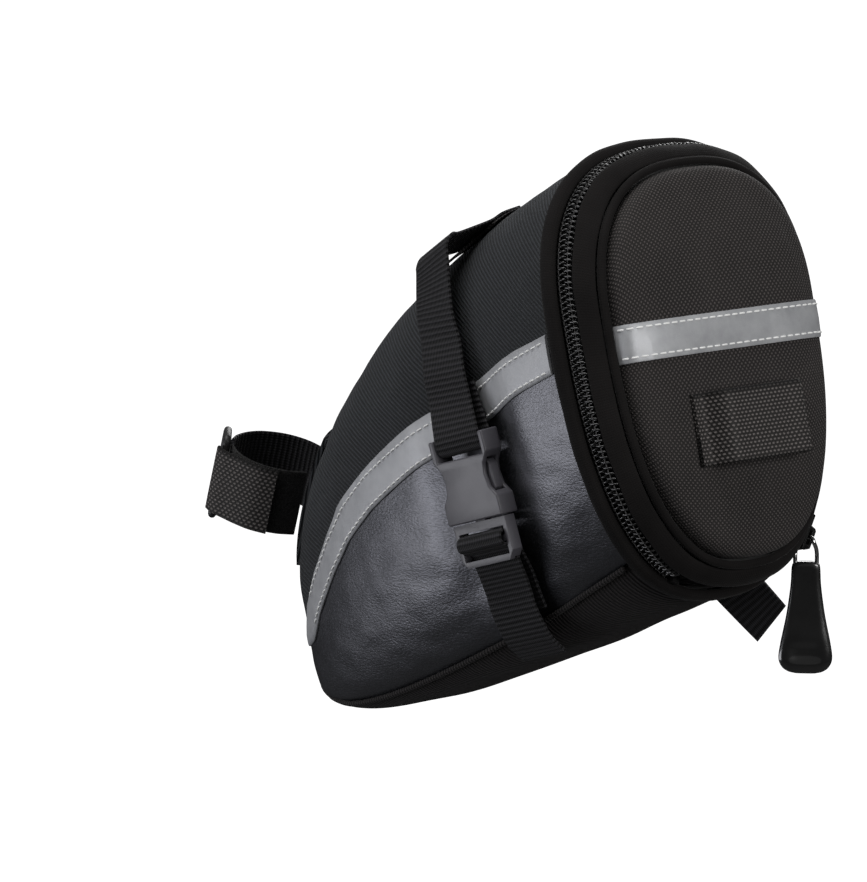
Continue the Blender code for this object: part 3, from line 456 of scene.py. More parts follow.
for sign, meaning in (("add", "ADD"), ("sub", "SUBTRACT"), ("mul", "MULTIPLY"), ("truediv", "DIVIDE"),
                      ("mod", "MODULO"), ("pow", "POWER"), ("abs", "ABSOLUTE")):
    setattr(Value, "__" + sign + "__", lambda self, *others, meaning=meaning: self.math(meaning, *others))


class Paint:
    """A procedural material and short ways to add nodes to it."""

    def __init__(self, name, specular, **sockets):
        self.material = bpy.data.materials.new(name)
        self.material.use_nodes = True
        self.tree = self.material.node_tree
        self.shader = self.tree.nodes["Principled BSDF"]
        for socket, value in {"Specular_IOR_Level": specular, **sockets}.items():
            self.wire(value, socket.replace("_", " "))

    def wire(self, value, socket):
        """Feeds a socket, or a shader socket given by its name."""
        if isinstance(socket, str):
            socket = self.shader.inputs[socket]
        if isinstance(value, Value):
            self.tree.links.new(value.socket, socket)
        else:
            socket.default_value = value

    def node(self, kind, output, inputs=(), **settings):
        made = self.tree.nodes.new("ShaderNode" + kind)
        for key, value in settings.items():
            setattr(made, key, value)
        for key, value in dict(inputs).items():
            self.wire(value, made.inputs[key])
        return Value(self, made.outputs[output])

    def cloth(self):
        """The place on the cloth, which follows its weave, in metres."""
        return self.node("UVMap", "UV", uv_map="cloth")

    def place(self):
        return self.node("TexCoord", "Object")

    def axes(self, vector):
        parts = self.node("SeparateXYZ", 0, {0: vector}).socket.node
        return [Value(self, output) for output in parts.outputs]

    def noise(self, per_metre, detail=2.0, roughness=0.5, vector=None):
        """Noise from 0 to 1 with per_metre lumps in a metre."""
        return self.node("TexNoise", "Fac", {"Vector": vector or self.place(), "Scale": per_metre,
                                             "Detail": detail, "Roughness": roughness})

    def fuzz(self, per_metre, detail=3.0):
        return self.noise(per_metre, detail, vector=self.cloth())

    def worn(self, amount):
        """Slow light and dark patches, from handling and dust."""
        return self.noise(45.0, 4.0, 0.6).ramp(0.3, 0.7) * amount

    def finish(self, shade, dark, light, wear, rough, *reliefs):
        """Colour by shade, roughness by wear, and reliefs of (height, depth in mm) on top of one another."""
        colours = {0: shade, 6: (*dark, 1.0), 7: (*light, 1.0)}
        self.wire(self.node("Mix", 2, colours, data_type="RGBA"), "Base Color")
        smooth, matt = rough
        self.wire(wear.math("MULTIPLY_ADD", matt - smooth, smooth), "Roughness")
        under = {}
        for height, depth_mm in reliefs:
            bump = self.node("Bump", "Normal", {"Height": height, "Strength": 1.0, "Distance": depth_mm * MM, **under})
            under = {"Normal": bump}
            self.wire(bump, "Normal")
        return self.material


def grey(value, blue=0.0):
    return (value, value * (1.0 + blue * 0.4), value * (1.0 + blue))


def woven(name, specular, sheen_roughness, sheen=0.05):
    """A cloth's paint and the places along and across its weave."""
    paint = Paint(name, specular, Sheen_Weight=sheen, Sheen_Roughness=sheen_roughness)
    u, v, _ = paint.axes(paint.cloth())
    return paint, u, v


def twill():
    """Diagonal ribs, each a row of slanting floats."""
    paint, u, v = woven("twill", 0.2, 0.5)
    rib = (u - v * 0.8 + paint.fuzz(900.0, 2.0) * 0.0004).wave(0.00125)
    relief = rib + rib * (u + v).wave(0.00062) * 0.35
    fuzz = paint.fuzz(5000.0)
    shade = (relief * 0.75) ** 2.0 + fuzz * 0.2 + paint.worn(0.15)
    return paint.finish(shade, grey(0.0014, 0.2), grey(0.038, 0.24), fuzz, (0.62, 0.9), (fuzz, 0.05), (relief, 0.22))


def leather():
    """Coated synthetic leather: soft sheen, pebble grain and fine stretched wrinkles."""
    paint = Paint("synthetic_leather", 0.9, Coat_Weight=0.4, Coat_Roughness=0.34,
                  Specular_Tint=(0.86, 0.87, 1.0, 1.0))
    stretch = paint.node("Mapping", "Vector", {"Vector": paint.place(), "Scale": (1.0, 1.0, 2.2),
                                               "Rotation": (0.0, radians(28.0), 0.0)})
    pebble = paint.node("TexVoronoi", "Distance", {"Vector": stretch, "Scale": 950.0})
    crease = paint.noise(620.0, 4.0, 0.55, stretch)
    grain = pebble * 0.5 + crease * 0.8
    return paint.finish(crease.ramp(0.3, 0.75) * 0.8, grey(0.0015, 0.15), grey(0.004, 0.25), grain.ramp(0.3, 1.0),
                        (0.34, 0.46), (paint.noise(60.0, vector=stretch), 0.16), (grain, 0.13))


def ribbed():
    """Cloth with fine ribs across the bottom."""
    paint, u, v = woven("ribbed_cloth", 0.15, 0.5, 0.03)
    relief = (u + paint.fuzz(500.0, 2.0) * 0.0004).wave(0.00135) + v.wave(0.0006) * 0.2
    fuzz = paint.fuzz(4500.0)
    return paint.finish((relief * 0.8) ** 2.0 + fuzz * 0.15, (0.0022, 0.0020, 0.0020), (0.042, 0.037, 0.037),
                        fuzz, (0.7, 0.95), (fuzz, 0.05), (relief, 0.2))


def binding():
    """Smooth matt binding cloth with a close plain weave."""
    paint, u, v = woven("binding_cloth", 0.1, 0.4)
    fuzz = paint.noise(2600.0, 4.0, 0.65)
    return paint.finish(fuzz * 0.6 + paint.worn(0.4), (0.0026, 0.0023, 0.0023), (0.013, 0.0115, 0.0112),
                        fuzz, (0.75, 0.98), (u.wave(0.0007) * v.wave(0.0007) + fuzz, 0.06))


def dot_nylon():
    """Coarse ballistic nylon: staggered light floats on a dark ground."""
    paint, u, v = woven("dot_nylon", 0.2, 0.5)
    pitch = 0.00158
    dots = ((u + v).wave(pitch) * (u - v).wave(pitch)).ramp(0.15, 0.75)
    fuzz = paint.fuzz(5200.0)
    return paint.finish(dots * 0.8 + fuzz * 0.2 + paint.worn(0.1), (0.0022, 0.0019, 0.0018), (0.08, 0.0705, 0.0675),
                        fuzz, (0.62, 0.9), (fuzz, 0.05), (dots, 0.2))


def ribbed_webbing():
    """Woven webbing with cross ribs."""
    paint, u, v = woven("webbing", 0.2, 0.4)
    relief = (u + paint.fuzz(300.0, 2.0) * 0.0003).wave(0.00158) + v.wave(0.0008) * 0.3
    fuzz = paint.fuzz(4200.0)
    return paint.finish((relief * 0.78) ** 2.0 + fuzz * 0.1, (0.0008, 0.0008, 0.0009), (0.03, 0.0288, 0.0325),
                        fuzz, (0.5, 0.8), (fuzz, 0.04), (relief, 0.36))


def loop_webbing():
    """Coarse basket-woven webbing of the light loop and the seatpost strap, its selvedges darkened: partly their own
    dark tone, partly painted shade of the gap under the loop.
    """
    paint, u, v = woven("loop_webbing", 0.2, 0.4)
    row_pitch, knot_pitch = 0.00105, 0.00156
    stagger = abs((v / row_pitch).math("ROUND")) % 2.0 * (knot_pitch / 2)
    knots = ((u + stagger).wave(knot_pitch) * (v + row_pitch / 4).wave(row_pitch)).ramp(0.1, 0.7)
    fuzz = paint.fuzz(4200.0)
    # painted shade: near each selvedge the colour falls to 0.15 of itself, for the shadow in the gap under the loop as
    # well as the dark edges
    unshaded_middle = abs(abs(v) - FACE_MIDDLE_V).ramp(0.0098, 0.0088)
    shade = (knots * 0.85 + fuzz * 0.2) * unshaded_middle.math("MULTIPLY_ADD", 0.85, 0.15)
    return paint.finish(shade, (0.0012, 0.0011, 0.0011), (0.15, 0.136, 0.13), fuzz, (0.5, 0.82), (fuzz, 0.05),
                        (knots, 0.32))


def loop_face():
    """The fuzzy loop side of touch fastener."""
    paint = Paint("touch_fastener", 0.15, Sheen_Weight=0.1, Sheen_Roughness=0.5)
    curls = paint.noise(1500.0, 6.0, 0.75)
    return paint.finish(curls.ramp(0.35, 0.7), grey(0.0012), (0.03, 0.029, 0.029), curls, (0.85, 1.0), (curls, 0.8))


def silver_tape():
    """Glass-bead reflective tape, slightly scuffed and dimpled."""
    paint = Paint("reflective_tape", 0.5, Metallic=0.25)
    beads, scuff = paint.fuzz(6000.0, 2.0), paint.noise(160.0, 5.0, 0.65)
    return paint.finish((beads * 0.35 + scuff * 0.65).ramp(0.25, 0.75), (0.27, 0.275, 0.29), (0.45, 0.455, 0.465),
                        scuff, (0.34, 0.6), (scuff, 0.15), (beads, 0.03))


def thread_paint(name, dark, light):
    paint = Paint(name, 0.4, Sheen_Weight=0.2)
    twist = paint.noise(4000.0)
    return paint.finish(twist, dark, light, twist, (0.5, 0.8))


def zipper_cloth():
    paint = Paint("zipper_tape", 0.3, Sheen_Weight=0.1)
    u, v, _ = paint.axes(paint.cloth())
    ribs, fuzz = u.wave(0.0006) * v.wave(0.0009), paint.fuzz(5000.0, 2.0)
    return paint.finish(ribs * 0.7 + fuzz * 0.3, grey(0.0015), (0.007, 0.0068, 0.0066), fuzz, (0.7, 0.95),
                        (ribs, 0.08))


def moulded(name, dark, light, rough, grain_mm, coat=0.0):
    """Injection-moulded plastic with a fine tool texture and rubbed patches."""
    paint = Paint(name, 0.5, Coat_Weight=coat, Coat_Roughness=0.08)
    texture, rubbed = paint.noise(3800.0, 3.0), paint.noise(120.0, 4.0, 0.6)
    return paint.finish(texture * 0.4 + rubbed * 0.6, dark, light, rubbed, rough, (texture, grain_mm))


def metal(name, dark, light, rough, metallic):
    paint = Paint(name, 0.5, Metallic=metallic)
    drawn = paint.noise(900.0, 4.0, 0.7)
    return paint.finish(drawn, dark, light, drawn, rough, (drawn, 0.01))


def plain_inner(name, dark, light, per_metre, depth_mm):
    """Foam, board and lining, seen only with the lid open."""
    paint = Paint(name, 0.3)
    cells = paint.noise(per_metre, 4.0, 0.6)
    return paint.finish(cells, dark, light, cells, (0.6, 0.95), (cells, depth_mm))


PAINTS = {
    "twill": twill(),
    "synthetic_leather": leather(),
    "ribbed_cloth": ribbed(),
    "binding_cloth": binding(),
    "dot_nylon": dot_nylon(),
    "webbing": ribbed_webbing(),
    "reflective_tape": silver_tape(),
    "zipper_tape": zipper_cloth(),
    "zipper_coil": moulded("zipper_coil", grey(0.004), grey(0.012), (0.14, 0.3), 0.005, 0.3),
    "buckle_plastic": moulded("buckle_plastic", (0.05, 0.048, 0.056), (0.09, 0.087, 0.1), (0.34, 0.5), 0.03),
    "puller_plastic": moulded("puller_plastic", grey(0.008), grey(0.018), (0.16, 0.3), 0.002, 0.8),
    "steel_wire": metal("steel_wire", grey(0.42), (0.6, 0.6, 0.59), (0.12, 0.3), 1.0),
    "black_metal": metal("black_metal", grey(0.006), grey(0.02), (0.2, 0.4), 0.5),
    "foam": plain_inner("foam", grey(0.02), grey(0.07), 1800.0, 0.2),
    "board": plain_inner("board", grey(0.03), grey(0.05), 700.0, 0.02),
    "lining_cloth": plain_inner("lining_cloth", (0.012, 0.012, 0.014), (0.035, 0.035, 0.038), 2600.0, 0.06),
}
RING_PLASTIC = moulded("ring_plastic", grey(0.008), grey(0.018), (0.42, 0.55), 0.002)
LOOP_WEBBING = loop_webbing()
TOUCH_FACE = loop_face()
WHITE_THREAD = thread_paint("sewing_thread", (0.7, 0.7, 0.69), (0.9, 0.9, 0.88))
DARK_THREAD = thread_paint("dark_thread", (0.008, 0.008, 0.008), (0.035, 0.033, 0.032))


def paint_frame():
    """Every CAD node that stays in view gets the finish of its slot."""
    for name, node in frame["nodes"].items():
        node.data.materials.clear()
        node.data.materials.append(PAINTS[SLOTS[name]])


# ---- body panels

def rows_between(first, last, count):
    return [first + (last - first) * k / (count - 1) for k in range(count)]


BODY_ROWS = [(k / 84.0) ** 1.25 for k in range(85)]
SEAM_GAP = 0.006


def seam_pucker(distance, run):
    """Small gathers that a row of stitches pulls in beside a seam."""
    return -0.16 * exp(-distance / 3.0) * (0.5 + 0.5 * cos(2.0 * pi * run / 4.6))


def panel_grids(first, last, columns, lift):
    """Outer and inner surfaces of a panel between angles first(u) and last(u)."""
    outer, inner = [], []
    for u in BODY_ROWS:
        low, high = first(u), last(u)
        out_row, in_row = [], []
        for k in range(columns + 1):
            t = low + (high - low) * k / columns
            point, normal = shell_point(u, t), shell_normal(u, t)
            if u == 1.0:
                point.x -= 0.3
            edge = min(k, columns - k) / columns
            out_row.append(point + normal * lift(point, u, t, edge))
            in_row.append(point - normal * PANEL)
        outer.append(out_row)
        inner.append(in_row)
    return outer, inner


def close_nose(grids):
    for grid in grids:
        for point in grid[0]:
            point.y = 0.0


def edge_fade(edge, width=0.08):
    return min(edge / width, 1.0) ** 0.5


def make_upper_panel():
    def lift(point, u, t, edge):
        quiet = edge_fade(edge) * min((1.0 - u) / 0.03, 1.0)
        return quiet * (ripple(point, 16.0, 0.45) + ripple(point, 7.0, 0.15, 5.0)) \
            + seam_pucker(edge * 200.0, u * LENGTH)

    grids = panel_grids(lambda u: pi - tape_angle(u) + SEAM_GAP, lambda u: tape_angle(u) - SEAM_GAP, 96, lift)
    close_nose(grids)
    closed_sheet(*grids).stand_for("upper_panel", "cloth")


def make_lower_panels():
    def lift(point, u, t, edge):
        quiet = edge_fade(edge, 0.12) * min((1.0 - u) / 0.03, 1.0)
        wrinkle = ripple(Vector((point.x, point.y, point.z * 2.4)), 13.0, 0.26) + ripple(point, 6.0, 0.08, 3.0)
        return quiet * wrinkle + seam_pucker(edge * 90.0, u * LENGTH)

    outer, inner = panel_grids(lambda u: tape_angle(u) + SEAM_GAP, lambda u: seam_angle(u) - 2 * SEAM_GAP, 44, lift)
    for grid in (outer, inner):
        for row in grid:
            for point in row:
                point.y = min(point.y, -0.15)
    for side in ("left", "right"):
        grids = [[[flipped(p, side) for p in row] for row in grid] for grid in (outer, inner)]
        closed_sheet(*grids).stand_for(side + "_lower_panel", "leather")


def make_bottom_panel():
    def lift(point, u, t, edge):
        return edge_fade(edge) * min((1.0 - u) / 0.03, 1.0) * ripple(point, 18.0, 0.4, 9.0)

    grids = panel_grids(lambda u: seam_angle(u) + 2 * SEAM_GAP,
                        lambda u: 3.0 * pi - seam_angle(u) - 2 * SEAM_GAP, 40, lift)
    close_nose(grids)
    closed_sheet(*grids).stand_for("bottom_panel", "cloth")


def shell_shift(u, t, distance):
    """The angle that lies distance further round the outline than t, in millimetres."""
    slope = (shell_point(u, t + 0.01) - shell_point(u, t - 0.01)).length / 0.02
    return t + distance / slope


def make_side_tapes():
    rows, half = rows_between(0.028, 0.993, 110), TAPE_WIDTH / 2
    profile = ((-half, 0.12), (-half, 0.5), (-half + 0.5, 0.8), (-3.0, 0.92), (0.0, 0.95), (3.0, 0.92),
               (half - 0.5, 0.8), (half, 0.5), (half, 0.12))
    outer = []
    for u in rows:
        t = tape_angle(u)
        full = min(0.4 + (u - rows[0]) / 0.07, 1.0)
        outer.append([on_shell(u, shell_shift(u, t, -offset * full), lift) for offset, lift in profile])
    inner = [[row[-1].lerp(row[-2], -0.3), row[0].lerp(row[1], -0.3)] for row in outer]
    for side in ("left", "right"):
        sections = [[flipped(p, side) for p in top + low[::-1]] for top, low in zip(outer, inner)]
        swept(sections).stand_for(side + "_side_tape", "sewn")
        stitches = Skin()
        for offset in (TAPE_STITCH_INSET - half, half - TAPE_STITCH_INSET):
            path = [flipped(on_shell(u, shell_shift(u, tape_angle(u), -offset), 0.9), side) for u in rows[8:]]
            normals = [flipped(shell_normal(u, tape_angle(u)), side) for u in rows[8:]]
            stitches.join(thread(path, normals, *TAPE_STITCH))
        stitches.make(side + "_side_tape_stitches", "bag", "reflective_tape", paint=WHITE_THREAD)


def make_seam_welts():
    rows = rows_between(0.045, 0.985, 90)
    for side in ("left", "right"):
        path = [flipped(on_shell(u, seam_angle(u), min(16.0 * u - 1.3, 0.75)), side) for u in rows]
        tube(path, 0.85).stand_for(side + "_seam_welt", "sewn", paint=PAINTS["ribbed_cloth"])


# ---- rear opening and zipper

def ring(profile, steps=200, start=0.0, end=2.0 * pi, wobble=0.0):
    """A closed profile of (x, inset) swept round the opening from angle start to end, a little uneven."""
    closed = end - start > 6.28
    angles = rows_between(start, end, steps + 1)[:steps if closed else None]
    return swept([[opening_point(t, x, inset - ripple(opening_point(t, x, inset), 11.0, wobble))
                   for x, inset in profile] for t in angles], closed)


def rounded_profile(corners, steps=4):
    """A smooth closed profile through the given corners."""
    found = []
    count = len(corners)
    for k in range(count):
        parts = [Vector((*corners[(k + j) % count], 0.0)) for j in (-1, 0, 1, 2)]
        for step in range(steps):
            point = catmull(*parts, step / steps)
            found.append((point.x, point.y))
    return found


def make_opening():
    binding_profile = [(0.0, 1.2), (0.0, -0.3), (0.7, -1.3), (2.1, -1.7), (3.5, -1.3), (BINDING_END, -0.3),
                       (BINDING_END, 1.2)]
    ring(rounded_profile(binding_profile), wobble=0.22).stand_for("opening_binding", "cloth")
    ring(tape_profile(1.0, CHAIN_X - COIL_GAP / 2)).stand_for("bag_zipper_tape", "cloth")


def tape_profile(first, last):
    """The zipper tape's section from x first to last."""
    inner, outer = CHAIN_INSET + 1.3, CHAIN_INSET + 1.9
    return [(first, inner), (last, inner), (last, outer), (first, outer)]


COIL_END = SLIDER_T + 0.13 - 2.0 * pi
COIL_PITCH, COIL_WIRE_R, COIL_HALF_HEIGHT = 1.55, 0.36, 0.62


def coil(x_outer, x_inner, phase, body):
    """The turns of one half of the zipper chain, from above the parked slider round to its left end."""
    angles = rows_between(COIL_END, CHAIN_LEFT_END, 1200)
    rim = [opening_point(t, 0.0, CHAIN_INSET) for t in angles]
    runs = run_lengths(rim)
    turns = int(runs[-1] / COIL_PITCH)
    middle, reach = (x_outer + x_inner) / 2, (x_inner - x_outer) / 2
    path = []
    for k in range(turns * 10 + 1):
        turn = k / 10.0
        run = (turn + phase) * COIL_PITCH
        if run > runs[-1]:
            break
        t = float(np.interp(run, runs, angles))
        swing = 2.0 * pi * turn
        path.append(opening_point(t, middle + reach * cos(swing),
                                  CHAIN_INSET - COIL_HALF_HEIGHT * sin(swing)))
    tube(path, COIL_WIRE_R, 6).stand_for(body + "_coil", "turns", body, sharp_deg=0.0)


def make_coils():
    coil(CHAIN_X - 2.9, CHAIN_X + 0.35, 0.0, "bag")
    coil(CHAIN_X + 2.9, CHAIN_X - 0.35, 0.5, "lid")
    for x, body in ((CHAIN_X - 1.75, "bag"), (CHAIN_X + 1.75, "lid")):
        angles = rows_between(COIL_END, CHAIN_LEFT_END, 260)
        path = [opening_point(t, x, CHAIN_INSET - 0.7) for t in angles]
        normals = [(opening_point(t, x, -1.0) - opening_point(t, x, 0.0)).normalized() for t in angles]
        thread(path, normals, COIL_PITCH, 1.35, 0.16).make(body + "_coil_sewing", body, "zipper_tape",
                                                           paint=DARK_THREAD)


# ---- lid

def face_height(share):
    """How far the padded face stands off its rim; share is 0 at the rim and 1 in the middle."""
    return FACE_SWELL * (1.0 - (1.0 - share) ** 5) ** (1.0 / 2.1)


def face_point(t, share, drop=0.0):
    rim = opening_point(t, 0.0, FACE_INSET)
    left = 1.0 - share
    return Vector((FACE_X + face_height(share) - drop, rim.y * left, rim.z * left))


def best_angle(y, z):
    """The contour angle whose rim point lies in the direction (y, z) from the middle."""
    target = atan2(z, y)
    low, high = (0.0, pi) if z >= 0.0 else (-pi, 0.0)
    for _ in range(30):
        middle = (low + high) / 2
        rim = opening_point(middle, 0.0, FACE_INSET)
        if atan2(rim.z, rim.y) < target:
            low = middle
        else:
            high = middle
    return (low + high) / 2


def face_x(y, z, drop=0.0):
    """Height of the padded face at a point of the rear view."""
    edge = opening_point(best_angle(y, z), 0.0, FACE_INSET)
    share = 1.0 - hypot(y, z) / hypot(edge.y, edge.z)
    return FACE_X + face_height(max(share, 0.0)) - drop


def make_lid_face():
    """The padded pillow of the lid, as one domed sheet."""
    steps = 176
    shares = [(k / 36.0) ** 2.0 for k in range(36)]
    angles = circle(steps)
    outer, inner = [], []
    for share in shares:
        row = []
        for t in angles:
            point = swollen(t, share)
            point.x += ripple(point, 20.0, 0.4, 2.0) * min(share * 6.0, 1.0)
            row.append(point)
        outer.append(row)
        inner.append([swollen(t, share, PANEL) for t in angles])
    skin = Skin()
    grids = []
    for grid in (outer, inner):
        top = skin.grid(grid, wrap=True)
        centre = len(skin.points)
        skin.points.append(sum(grid[-1], Vector()) / steps + Vector((0.02, 0.0, 0.0)))
        for k in range(steps):
            skin.face((top[-1][k], top[-1][(k + 1) % steps], centre))
        grids.append(top)
    skin.strip(grids[0][0], grids[1][0], wrap=True)
    flat_uv(skin)
    skin.make("lid_face_cloth", "lid", "dot_nylon", "lid_panel")


def flat_uv(skin):
    """Cloth cut from one flat piece: the weave runs across and down the lid, and round its padded sides."""
    skin.uvs = []
    for face in skin.faces:
        spread = []
        for i in face:
            point = skin.points[i]
            away = max(hypot(point.y, point.z), 1.0)
            grow = 1.0 + max(FACE_X + FACE_SWELL - point.x, 0.0) / away
            spread.append((point.y * grow * MM, point.z * grow * MM))
        skin.uvs.append(spread)


def make_lid_edges():
    strip_profile = [(STRIP_START, 1.2), (12.1, 1.7), (13.7, 3.0), (15.0, 5.0), (14.6, 5.8), (13.5, 5.2),
                     (12.2, 3.8), (STRIP_START, 2.9)]
    ring(rounded_profile(strip_profile), wobble=0.5).stand_for("lid_strip", "cloth", "lid")
    path = [opening_point(t, PIPING_X, PIPING_INSET) for t in circle(220)]
    tube(path, PIPING_R, 12, True).stand_for("lid_piping", "cord", "lid")
    ring(tape_profile(CHAIN_X + COIL_GAP / 2, STRIP_START - 0.3), 160, COIL_END, CHAIN_LEFT_END).stand_for(
        "lid_zipper_tape", "cloth", "lid")


def make_hinge_web():
    """The uncut strip of cloth under the chain's gap."""
    rows = []
    for k in range(13):
        x = CHAIN_X - 3.0 + (STRIP_START + 0.6 - CHAIN_X + 3.0) * k / 12
        rows.append([opening_point(4.42 + 0.6 * j / 24, x, CHAIN_INSET + 0.95) for j in range(25)])
    low = [[p + Vector((0.0, 0.0, 0.5)) for p in row] for row in rows]
    made = closed_sheet(rows, low).stand_for("lid_hinge_web", "cloth", None)
    to_world((CHAIN_X - 0.8, 0.0, HINGE_Z))
    to_world((STRIP_START - 0.8, 0.0, HINGE_Z))
    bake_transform(made)


def swollen(t, share, drop=0.0):
    """A point of the face whose sides bulge over the piping."""
    point = face_point(t, share, drop)
    grow = 1.0 + SIDE_BULGE * sin(pi * min(share / SIDE_SHARE, 1.0)) / (1.0 - share)
    return Vector((point.x, point.y * grow, point.z * grow))


def side_point(z, share):
    """The face's right-hand point at height z, as far in from the rim as share says."""
    low, high = -pi / 2, pi / 2
    for _ in range(26):
        middle = (low + high) / 2
        if swollen(middle, share).z < z:
            low = middle
        else:
            high = middle
    return swollen(low, share)


def band_across_face(z, lift):
    """A level line over the face from rim to rim, with its normals, lifted off the cloth."""
    shares = [0.0, 0.004, 0.01, 0.02, 0.03, 0.045, 0.06, 0.08, 0.1, 0.12]
    right = []
    for share in shares:
        here, ahead = side_point(z, share), side_point(z, share + 0.004)
        normal = Vector((here.y - ahead.y, ahead.x - here.x, 0.0)).normalized()
        right.append((here + normal * lift, normal))
    reach = side_point(z, SIDE_SHARE).y
    middle = [reach * (1.0 - k / 34.0) for k in range(69)]
    level = [(Vector((face_x(y, z) + lift, y, z)), Vector((1.0, 0.0, 0.0))) for y in middle]
    left = [(Vector((p.x, -p.y, p.z)), Vector((n.x, -n.y, 0.0))) for p, n in reversed(right)]
    return right + level + left


def make_lid_tape():
    z, half = LID_TAPE_Z, TAPE_WIDTH / 2
    columns = ((-half, 0.1), (-half, 0.34), (-half + 0.5, 0.5), (0.0, 0.6), (half - 0.5, 0.5), (half, 0.34),
               (half, 0.1), (0.0, 0.08))
    lines = [[point for point, _ in band_across_face(z + offset, lift)] for offset, lift in columns]
    swept(list(zip(*lines))).stand_for("lid_tape", "sewn", "lid")
    stitches = Skin()
    for offset in (TAPE_STITCH_INSET - half, half - TAPE_STITCH_INSET):
        line = band_across_face(z + offset, 0.55)
        stitches.join(thread(*[list(part) for part in zip(*line)], *TAPE_STITCH))
    stitches.make("lid_tape_stitches", "lid", "reflective_tape", paint=WHITE_THREAD)


def make_light_loop():
    z, half, foot, stand = LOOP_Z, LOOP_HALF, 4.0, 6.8
    base = face_x(0.0, z)
    path = [(face_x(y, z) + 1.0, y) for y in (-half, -half + foot)]
    path += [(base + stand, y) for y in (-half + foot + 3.0, -8.0, 0.0, 8.0, half - foot - 3.0)]
    path += [(face_x(y, z) + 1.0, y) for y in (half - foot, half)]
    stations = []
    for k, (x, y) in enumerate(path):
        before, after = path[max(k - 1, 0)], path[min(k + 1, len(path) - 1)]
        along = Vector((after[0] - before[0], after[1] - before[1], 0.0))
        stations.append((Vector((x, y, z)), (0, 0, 1), Vector((along.y, -along.x, 0.0))))
    webbing(stations, WEB, 1.3, 8).stand_for("light_loop", "webbing", "lid", LOOP_WEBBING)


# ---- rail straps and buckles

def strap_station(z, lift, shift=0.0):
    """A place on the left side under the strap's middle, lifted off the surface and moved forward by shift."""
    x = strap_x(z) - shift
    u = 1.0 + x / LENGTH
    t = side_angle(u, z)
    normal = shell_normal(u, t)
    ahead = shell_point(u + 0.03, side_angle(u + 0.03, z)) - shell_point(u - 0.03, side_angle(u - 0.03, z))
    return shell_point(u, t) + normal * lift, ahead, normal


def buckle_axes():
    """Centre on the side panel and the axes across, outward and up of the left buckle."""
    centre, _, normal = strap_station(BUCKLE_Z, 0.0)
    up = (strap_station(BUCKLE_Z + 12.0, 0.0)[0] - strap_station(BUCKLE_Z - 12.0, 0.0)[0]).normalized()
    outward = (normal - up * normal.dot(up)).normalized()
    outward = Matrix.Rotation(radians(BUCKLE_TWIST_DEG), 3, up) @ outward
    return centre, outward.cross(up), outward, up


def to_bag(point):
    """From the left buckle's frame to the bag frame."""
    centre, across, outward, up = buckle_axes()
    return centre + across * point[0] + outward * point[1] + up * point[2]


def same_way(stations):
    return [(centre, across if across.x > 0 else -across, normal) for centre, across, normal in stations]


def top_station(u, t, lift):
    """A place across the top of the bag at angle t."""
    across = shell_point(u + 0.03, t) - shell_point(u - 0.03, t)
    return on_shell(u, t, lift), across, shell_normal(u, t)


def make_upper_strap(side):
    """From its anchor on top of the bag, over the rail, down the side, round the buckle's bar and back up."""
    slope, yaw = radians(RAIL_SLOPE_DEG), radians(RAIL_YAW_DEG)
    rail_across = Vector((cos(slope) * cos(yaw), -sin(yaw), sin(slope) * cos(yaw)))
    middle = strap_x(RAIL_Z)
    u = 1.0 + middle / LENGTH
    stations = [top_station(u, t, 1.9) for t in (1.7, 1.84, 1.98)]
    reach = RAIL_R + 0.9 + WEB_THICK / 2
    for turn in (75.0, 105.0, 135.0, 160.0, 180.0):
        angle = radians(turn)
        out = Vector((0.0, cos(angle), sin(angle)))
        stations.append((Vector((middle, -RAIL_Y, RAIL_Z)) + out * reach, rail_across, out))
    stations += [strap_station(z, lift) for z, lift in ((26.0, 3.8), (18.0, 3.0), (10.0, 4.4), (2.0, 5.3))]
    _, across, outward, up = buckle_axes()
    bar_y, bar_z = BUCKLE_LIFT + 3.1, 9.3
    stations.append((to_bag((0, bar_y + 1.95, 12.5)), -across, outward))
    for turn in (0.0, -45.0, -90.0, -135.0, -180.0):
        angle = radians(turn)
        out = outward * cos(angle) + up * sin(angle)
        stations.append((to_bag((0, bar_y, bar_z)) + out * 1.95, -across, out))
    stations.append((to_bag((0, bar_y - 1.95, 13.0)), -across, -outward))
    for z, lift in ((2.0, 2.55), (7.0, 2.4)):
        point, ahead, normal = strap_station(z, lift)
        stations.append((point, ahead, -normal))
    side_webbing(side, same_way(stations)).stand_for(side + "_upper_strap", "webbing")


def make_anchor_patch(side):
    u = 1.0 + strap_x(RAIL_Z) / LENGTH
    stations = [top_station(u, t, 0.75) for t in (1.6, 1.7, 1.84, 1.98, 2.05)]
    side_webbing(side, stations, WEB + 6.0, 0.7).stand_for(side + "_anchor_patch", "cloth",
                                                           paint=PAINTS["ribbed_cloth"])


